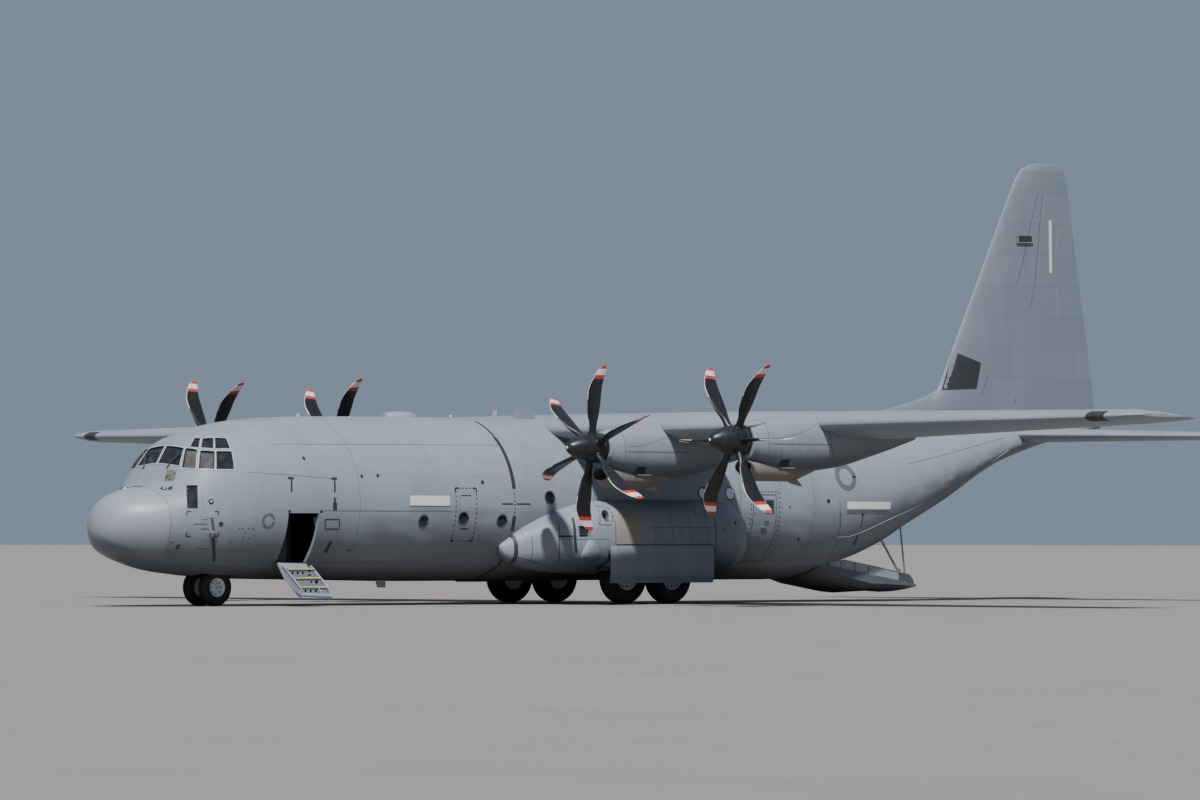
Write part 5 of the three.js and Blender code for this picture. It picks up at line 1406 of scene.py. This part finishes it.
def build_top_fittings():
    small_pane = slab(patch_rows(1, SMALL_PANE, (0, 0.33, 0.67, 1)), -0.002, 0.004)
    piece("small_pane_port", *small_pane, green_pane)
    slot = [lamp_place(1, x, 1.33 + 0.22 * x * x, 2.885)[0] for x in spread(-0.46, 0.1, 0.07)]
    piece("nose_slot", *surface_path(slot, 0.09, high=0.005), dark_mark)
    hatch = [top_point(0.52 * math.cos(a), 4.75 + 0.42 * math.sin(a)) for a in turns(40, 1)]
    seams = [hoop(RADOME_END, -178, 178, 0.014, 0.002, 90, centre=2.0), surface_path(hatch, 0.02)]
    piece("top_seams", *several(seams), mid_mark)
    dome = []
    for t, h in DOME:
        half = DOME_HALF * math.sin(math.pi * min(max(t, 0.03), 0.97)) ** 0.45
        dome.append([at(half * math.cos(a), DOME_START + t, CROWN + (h + 0.03) * math.sin(a))
                     for a in spread(0, math.pi, math.pi / 12)])
    piece("top_dome", *skin_of(dome, closed=False, caps=False), skin_paint, smooth_angle=60)
    masts = [prism([at(x, s, z) for s, z in outline], (thick, 0, 0)) for x, thick, outline in ANTENNAS]
    piece("blade_antennas", *several(masts), frame_paint, smooth_angle=30)
    box = [[at(x, s, z) for x, s in ((0.13, fore), (0.13, 13.77), (-0.13, 13.77), (-0.13, fore))]
           for z, fore in ((4.6, 13.25), (4.93, 13.33), (4.96, 13.33))]
    piece("top_box_antenna", *skin_of(box), pod_paint, smooth_angle=30)
    caps = [turned_shape([(0, 0), (0, 0.05), (0.05, 0.045), (0.08, 0)], top_point(x, s), UP, 20)
            for x, s in ((0.0, 6.2), (0.55, 7.4), (-0.5, 10.2), (0.0, 11.1), (0.0, 20.2))]
    piece("top_caps", *several(caps), frame_paint)
    beacon = [(0, 0), (0, 0.07), (0.06, 0.068), (0.11, 0.04), (0.125, 0)]
    piece("top_beacon", *turned_shape(beacon, at(0, 20.9, 4.645), UP, 28), beacon_red)


green_pane = plain_finish("green_pane", (0.12, 0.135, 0.09), 0.2, scale=22.0, vary=0.8)
beacon_red = plain_finish("beacon_red", (0.34, 0.02, 0.02), 0.25, scale=30.0)
build_marks()
for side_name, side_sign in SIDES:
    build_nose_fittings(side_name, side_sign)
build_top_fittings()


# Crew stair, ramp, tail marks and what shows inside

step_yellow = plain_finish("step_yellow", (0.55, 0.50, 0.16), 0.55, vary=0.2)
grip_grey = plain_finish("grip_grey", (0.07, 0.075, 0.08), 0.9, scale=60.0, vary=0.3)
stair_grey = plain_finish("stair_grey", (0.20, 0.22, 0.27), 0.5, vary=0.15)
pale_metal = plain_finish("pale_metal", (0.42, 0.43, 0.45), 0.4, metallic=0.2, vary=0.12)
box_grey = plain_finish("box_grey", (0.05, 0.06, 0.065), 0.6, vary=0.3)
ramp_grey = plain_finish("ramp_grey", (0.22, 0.24, 0.28), 0.55, vary=0.2)
patch_grey = plain_finish("patch_grey", (0.022, 0.023, 0.028), 0.6, scale=16.0, vary=0.2)
frame_green = plain_finish("frame_green", (0.20, 0.23, 0.22), 0.6, vary=0.15)
screen_dark = plain_finish("screen_dark", (0.01, 0.015, 0.025), 0.15, vary=0.1)

DOOR_HINGE = (1.583, 1.01)
STEPS = [(DOOR_HINGE[0] + 0.25 + 0.25 * k, DOOR_HINGE[1] - 0.11 - 0.215 * k) for k in range(3)]
STEP_ENDS = (4.284, 5.076)
RISER_HOLES = (
    # station and radius of the round holes in each riser
    ((4.42, 0.036), (4.58, 0.036), (4.74, 0.036)), ((4.96, 0.046), (4.8, 0.03)),
    ((4.42, 0.036), (4.58, 0.036), (4.74, 0.036)),
)
RAMP_SLOPE, RAMP_HINGE = math.radians(8.8), (22.4, 1.0)
RAMP_HUMP = ((25.42, 0.0), (25.44, 0.17), (25.6, 0.25), (25.86, 0.23), (25.99, 0.1), (26.0, 0.0))


def build_risers():
    for k, (x, z) in enumerate(STEPS):
        low = STEPS[k + 1][1] + 0.016 if k < 2 else z - 0.2
        front, middle = x + 0.165, (low + z) / 2
        plate = box_shape((front, front + 0.008), STEP_ENDS, (low, z - 0.019))
        riser = piece(f"crew_stair_riser_{k}", *plate, stair_grey, body="crew_door", smooth_angle=30)
        shapes = [turned_shape(drum(-0.06, 0.06, r), at(front, s, middle), (1, 0, 0), 20)
                  for s, r in RISER_HOLES[k]]
        if k == 0:
            for way in (1, -1):
                spots = ((4.88, 0.33 * (z - low)), (5.02, 0.33 * (z - low)), (4.95, 0.012))
                corners = [at(front, s, middle + way * h) for s, h in spots]
                shapes.append(prism(corners, (0.03, 0, 0), (-0.03, 0, 0)))
        cut(riser, shapes)


def build_crew_stair():
    edges = [box_shape((x + 0.155, x + 0.197), STEP_ENDS, (z - 0.018, z + 0.018)) for x, z in STEPS]
    pads = [box_shape((x - 0.045, x + 0.15), (4.3, 5.06), (z + 0.012, z + 0.019)) for x, z in STEPS]
    piece("crew_stair_edges", *several(edges), step_yellow, body="crew_door", smooth_angle=20)
    piece("crew_stair_pads", *several(pads), grip_grey, body="crew_door", smooth_angle=20)
    x, z = DOOR_HINGE
    rail = ((0.16, -0.1), (0.27, -0.03), (0.96, -0.56), (0.96, -0.79))
    rails = [bar_shape([at(x + dx, s, z + dz) for dx, dz in rail], 0.011, 10) for s in (4.242, 5.118)]
    loop = ((0.97, 0, -0.55), (1.01, 0.05, -0.66), (1.0, 0.03, -0.82), (0.96, 0, -0.9))
    rails += [bar_shape([at(x + dx, s + ds, z + dz) for dx, ds, dz in loop], 0.009, 8) for s in (4.78, 5.05)]
    piece("crew_stair_rails", *several(rails), pale_metal, body="crew_door", smooth_angle=60)
    plate = box_shape((x + 0.02, x + 0.24), (4.3, 5.06), (z - 0.105, z - 0.098))
    piece("crew_door_top_plate", *plate, pale_metal, body="crew_door", smooth_angle=20)
    grab = [bar_shape([at(x, 4.36, z) for x, z in spots], 0.016) for spots in (
        ((1.5, 2.16), (1.5, 1.14), (1.42, 1.06)), ((1.5, 2.16), (1.46, 2.26)))]
    piece("doorway_grab_rail", *several(grab), pale_metal, smooth_angle=60)
    sill = box_shape((1.36, 1.53), (4.25, 5.11), (1.03, 1.05))
    piece("doorway_sill_plate", *sill, box_grey, smooth_angle=20)
    hall = [box_shape((0.9, 1.25), (4.5, 4.85), (1.03, 1.75)),
            box_shape((0.55, 0.85), (5.0, 5.3), (1.03, 2.2)), box_shape((-0.2, 0.2), (4.6, 4.9), (1.3, 1.55))]
    piece("entrance_boxes", *several(hall), box_grey, smooth_angle=20)


def deck(s, over=0.0):
    """Height of the ramp's deck at a station, and over it."""
    return RAMP_HINGE[1] - (s - RAMP_HINGE[0]) * math.tan(RAMP_SLOPE) + over


def deck_bar(side, x0, x1, rows):
    """A bar along the ramp; each row is a station and the bar's two heights over the deck."""
    a, b = sorted((side * x0, side * x1))
    return skin_of([[at(x, s, deck(s, h)) for x, h in ((a, low), (b, low), (b, high), (a, high))]
                    for s, low, high in rows])


def build_ramp():
    curbs, caps, rollers, struts = [], [], [], []
    stations = spread(22.85, 25.35, 0.25)
    for side in (1, -1):
        curbs.append(deck_bar(side, 1.315, 1.36, [(s, -0.03, 0.24 * min(1, 0.35 + (s - 22.85) / 0.8))
                                                  for s in stations]))
        curbs += [deck_bar(side, 1.36, 1.385, [(s - 0.03, 0.0, 0.22), (s + 0.03, 0.0, 0.22)])
                  for s in stations[2::2]]
        caps.append(deck_bar(side, 1.3, 1.375, [(s, 0.24, 0.262) for s in (23.45, 25.35)]))
        rollers += [deck_bar(side, x - 0.05, x + 0.05, [(s, 0.002, 0.045) for s in (22.75, 25.55)])
                    for x in (0.42, 0.95)]
        struts += [bar_shape([at(side * 1.3, s, z) for s, z in spots], radius) for radius, spots in (
            (0.024, ((25.7, 0.7), (25.52, 2.0))), (0.03, ((25.45, 0.78), (24.75, 1.72))))]
        struts.append(turned_shape(drum(-0.04, 0.04, 0.06), at(side * 1.3, 25.46, 0.8), (1, 0, 0), 20))
    hump = skin_of([[at(x, s, deck(s, h)) for s, h in RAMP_HUMP] for x in (-1.33, -1.3, 0, 1.3, 1.33)])
    grip = deck_bar(1, -1.29, 1.29, [(s, 0.001, 0.012) for s in (22.62, 25.44)])
    for name, shape, finish, angle in (
        ("ramp_end_hump", hump, box_grey, 50), ("ramp_curbs", several(curbs), ramp_grey, 30),
        ("ramp_curb_caps", several(caps), pale_metal, 20), ("ramp_rails", several(rollers), dull_metal, 20),
        ("ramp_struts", several(struts), dull_metal, 60), ("ramp_grip", grip, grip_grey, 20),
    ):
        piece(name, *shape, finish, body="cargo_ramp", smooth_angle=angle)


FIN_BOX = ((29.3, 6.12), (29.52, 6.08), (29.45, 5.86), (29.23, 5.88), (29.3, 6.12))
FIN_LINES = (
    ((29.0, 6.9), (32.0, 6.9)), ((29.9, 8.6), (32.3, 8.6)), ((30.5, 9.75), (32.35, 9.75)),
    ((29.62, 5.5), (31.2, 8.9), (31.9, 11.0)), ((30.9, 5.3), (31.75, 8.6), (32.1, 11.0)),
)
FIN_SHEETS = (
    # name, finish, steps each way, height over the fin, smooth angle, four corners
    ("root_patch", patch_grey, 6, 0.004, 40, ((28.72, 6.66), (29.63, 6.37), (29.44, 5.67), (28.28, 5.62))),
    ("light_strip", pale_strip, 4, 0.006, 40, ((32.36, 10.3), (32.47, 10.3), (32.47, 8.87), (32.36, 8.87))),
    ("scoop", fin_paint, 2, 0.05, 20, ((31.04, 9.86), (31.66, 9.88), (31.66, 9.66), (31.04, 9.64))),
    ("scoop_back", dark_mark, 2, 0.053, 20, ((31.1, 9.84), (31.6, 9.85), (31.6, 9.69), (31.1, 9.67))),
)
AFT_RIDGE = (
    (22.56, 1.66), (23.05, 1.68), (23.51, 1.8), (23.95, 1.95), (24.65, 2.19), (25.41, 2.42), (26.05, 2.63),
    (27.2, 3.06), (28.4, 3.52), (29.6, 4.0),
)
AFT_STRIPS = (
    (0.035, ((23.38, 2.28), (23.385, 2.1), (23.39, 1.93))),
    (0.09, ((23.37, 1.74), (23.37, 1.6), (23.37, 1.47))),
    (0.06, ((23.33, 2.27), (23.44, 2.27))),
    (0.02, ((22.53, 2.38), (22.62, 1.82), (22.63, 1.45), (22.59, 1.06))),
)
BOOT_SPAN, BOOT_REACH = (18.85, 19.4), 0.22


def leading_edge_boot(side):
    """A thin sheet round the wing's leading edge."""
    rows = []
    for x in spread(*BOOT_SPAN, 0.14):
        row = straight(WING, x)
        ring = []
        for k in range(-8, 9):
            part = (k / 8) ** 2 * BOOT_REACH / row[3]
            high, low = foil_heights(part, False)
            level = row[2] - row[5] * part + (high if k >= 0 else -low) * row[4]
            ring.append(wing_guides[side].nearest(at(side * x, row[1] + part * row[3], level))[:2])
        rows.append(ring if side > 0 else ring[::-1])
    return slab(rows, SUNK, HAIR)


def build_tail_marks():
    fin = Guide(*lifting(FIN, FIN[0][0], FIN[-1][0], symmetric=True))
    for name, side in SIDES:
        for part, finish, steps, high, angle, corners in FIN_SHEETS:
            a, b, c, d = corners
            parts = spread(0, 1, 1 / steps)
            rows = [[fin.from_side(side, s, z, reach=2) for s, z in along_line(near, far, parts)]
                    for near, far in zip(along_line(a, b, parts), along_line(d, c, parts))]
            piece(f"fin_{part}_{name}", *slab(rows, SUNK, high), finish, smooth_angle=angle)

        def line(spots, width):
            return surface_path([fin.from_side(side, s, z, reach=2)[0] for s, z in spots], width, fin)

        piece(f"fin_patch_box_{name}", *line(FIN_BOX, 0.02), mid_mark)
        piece(f"fin_seams_{name}", *several([line(spots, 0.012) for spots in FIN_LINES]), dark_mark)
        piece(f"wing_edge_boot_{name}", *leading_edge_boot(side), patch_grey)
        piece(f"aft_ridge_{name}", *side_line(side, AFT_RIDGE, 0.05, 0.016), pod_paint)
        strips = [side_line(side, spots, width) for width, spots in AFT_STRIPS]
        piece(f"aft_strips_{name}", *several(strips), dark_mark)


def build_cabin():
    """Frames, rails and seats of the hold, and what shows through the windows."""
    ribs = []
    for s in spread(6.4, 21.6, 0.95):
        rings = [section_ring(s + aft, inset) for aft, inset in (
            (-0.03, 0.082), (0.03, 0.082), (0.03, 0.135), (-0.03, 0.135), (-0.03, 0.082))]
        ribs.append(skin_of(rings, caps=False))
    piece("hold_frames", *several(ribs), frame_green, smooth_angle=30)
    rails = [box_shape((x - 0.06, x + 0.06), (5.8, 22.2), (1.031, 1.06)) for x in (-1.3, -0.45, 0.45, 1.3)]
    piece("hold_rails", *several(rails), dull_metal, smooth_angle=20)
    screens = [box_shape((x - 0.16, x + 0.16), (2.462, 2.468), (2.8, 3.04)) for x in (-0.8, -0.38, 0.38, 0.8)]
    piece("panel_screens", *several(screens), screen_dark, smooth_angle=20)
    for name, side in SIDES:
        yoke = [bar_shape(on_side(side, spots), radius, 10) for radius, spots in (
            (0.025, ((0.56, 2.62, 2.36), (0.56, 2.74, 2.86))),
            (0.018, ((0.4, 2.74, 3.0), (0.42, 2.75, 2.86), (0.7, 2.75, 2.86), (0.72, 2.74, 3.0))))]
        head = box_shape(sorted((side * 0.42, side * 0.7)), (3.5, 3.62), (3.56, 3.76))
        piece(f"control_yoke_{name}", *several(yoke), panel_black, smooth_angle=50)
        piece(f"seat_head_{name}", *head, seat_cloth, smooth_angle=30)


build_risers()
build_crew_stair()
build_ramp()
build_tail_marks()
build_cabin()


# Finishes of the solids that show as they are

NODE_FINISHES = (
    # how a node's name starts, its finish; the rest have the skin's
    ("cargo_ramp", ramp_shade_paint), ("crew_seat", seat_cloth), ("instrument_panel", panel_black),
    ("flight_deck_glass", cabin_glass), ("cargo_floor", inside_paint), ("flight_deck", inside_paint),
    ("nose_gear_bay", bay_paint), ("propeller", blade_black), ("engine", dull_metal), ("main_tyre", rubber),
    ("nose_wheel", rubber), ("main_rim", hub_white), ("main_gear_leg", bare_metal),
    ("nose_gear_leg", bare_metal), ("nose_steering", bare_metal), ("wing", wing_paint),
    ("outer_wing", wing_paint), ("flap", wing_paint),
    ("aileron", wing_paint), ("stabiliser", wing_paint), ("elevator", wing_paint), ("fin", fin_paint),
    ("rudder", fin_paint), ("nacelle", pod_paint), ("sponson", pod_paint), ("main_gear_door", pod_paint),
)


def finish_nodes():
    for name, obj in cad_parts.items():
        finish = next((finish for start, finish in NODE_FINISHES if name.startswith(start)), skin_paint)
        obj.data.materials.clear()
        obj.data.materials.append(finish)


finish_nodes()
# Camera at the photo's place, the pale floor and soft light

CAMERA_PLACE = (121.358, -92.102, 1.532)
CAMERA_YAW, CAMERA_PITCH, CAMERA_ROLL = (math.radians(a) for a in (41.7204, 1.2819, 0.03))
CAMERA_LENS = 191.39


SENSOR_WIDTH, VIEW_REACH, FLOOR_REACH = 36, 3000, 1500
SKY, SKY_STRENGTH = (0.52, 0.66, 0.86, 1), 0.40
# name, direction towards the light, strength, apparent size in degrees
SUNS = (("key", (0.5, -0.41, 1.0), 5.8, 3), ("fill", (0.8, -1.0, 0.5), 0.12, 50))


def build_camera():
    sin_yaw, cos_yaw = math.sin(CAMERA_YAW), math.cos(CAMERA_YAW)
    level = Vector((sin_yaw, cos_yaw, 0))
    flat = math.cos(CAMERA_PITCH)
    ahead = Vector((-cos_yaw * flat, sin_yaw * flat, math.sin(CAMERA_PITCH)))
    up = level.cross(ahead)
    right = level * math.cos(CAMERA_ROLL) + up * math.sin(CAMERA_ROLL)
    upright = up * math.cos(CAMERA_ROLL) - level * math.sin(CAMERA_ROLL)
    data = bpy.data.cameras.new("photo_camera")
    data.lens, data.sensor_width, data.clip_end = CAMERA_LENS, SENSOR_WIDTH, VIEW_REACH
    camera = linked("photo_camera", data)
    turn = Matrix((right, upright, -ahead)).transposed()
    camera.matrix_world = Matrix.Translation(at(*CAMERA_PLACE)) @ turn.to_4x4()
    bpy.context.scene.camera = camera


def build_stage():
    mesh = bpy.data.meshes.new("floor")
    corners = [(x * FLOOR_REACH, y * FLOOR_REACH, 0) for x, y in ((-1, -1), (1, -1), (1, 1), (-1, 1))]
    mesh.from_pydata(corners, [], [(0, 1, 2, 3)])
    finish = plain_finish("floor_finish", (0.225, 0.208, 0.188), 0.85, scale=0.6, vary=0.04, bump=0.0)
    mesh.materials.append(finish)
    linked("floor", mesh)


def build_lights():
    world = bpy.data.worlds.new("studio")
    bpy.context.scene.world = world
    world.use_nodes = True
    sky = world.node_tree.nodes["Background"].inputs
    sky["Color"].default_value, sky["Strength"].default_value = SKY, SKY_STRENGTH
    for name, direction, strength, angle in SUNS:
        data = bpy.data.lights.new(name, "SUN")
        data.energy, data.angle = strength, math.radians(angle)
        linked(name, data).rotation_euler = Vector(direction).to_track_quat("Z", "Y").to_euler()


build_camera()
build_stage()
build_lights()
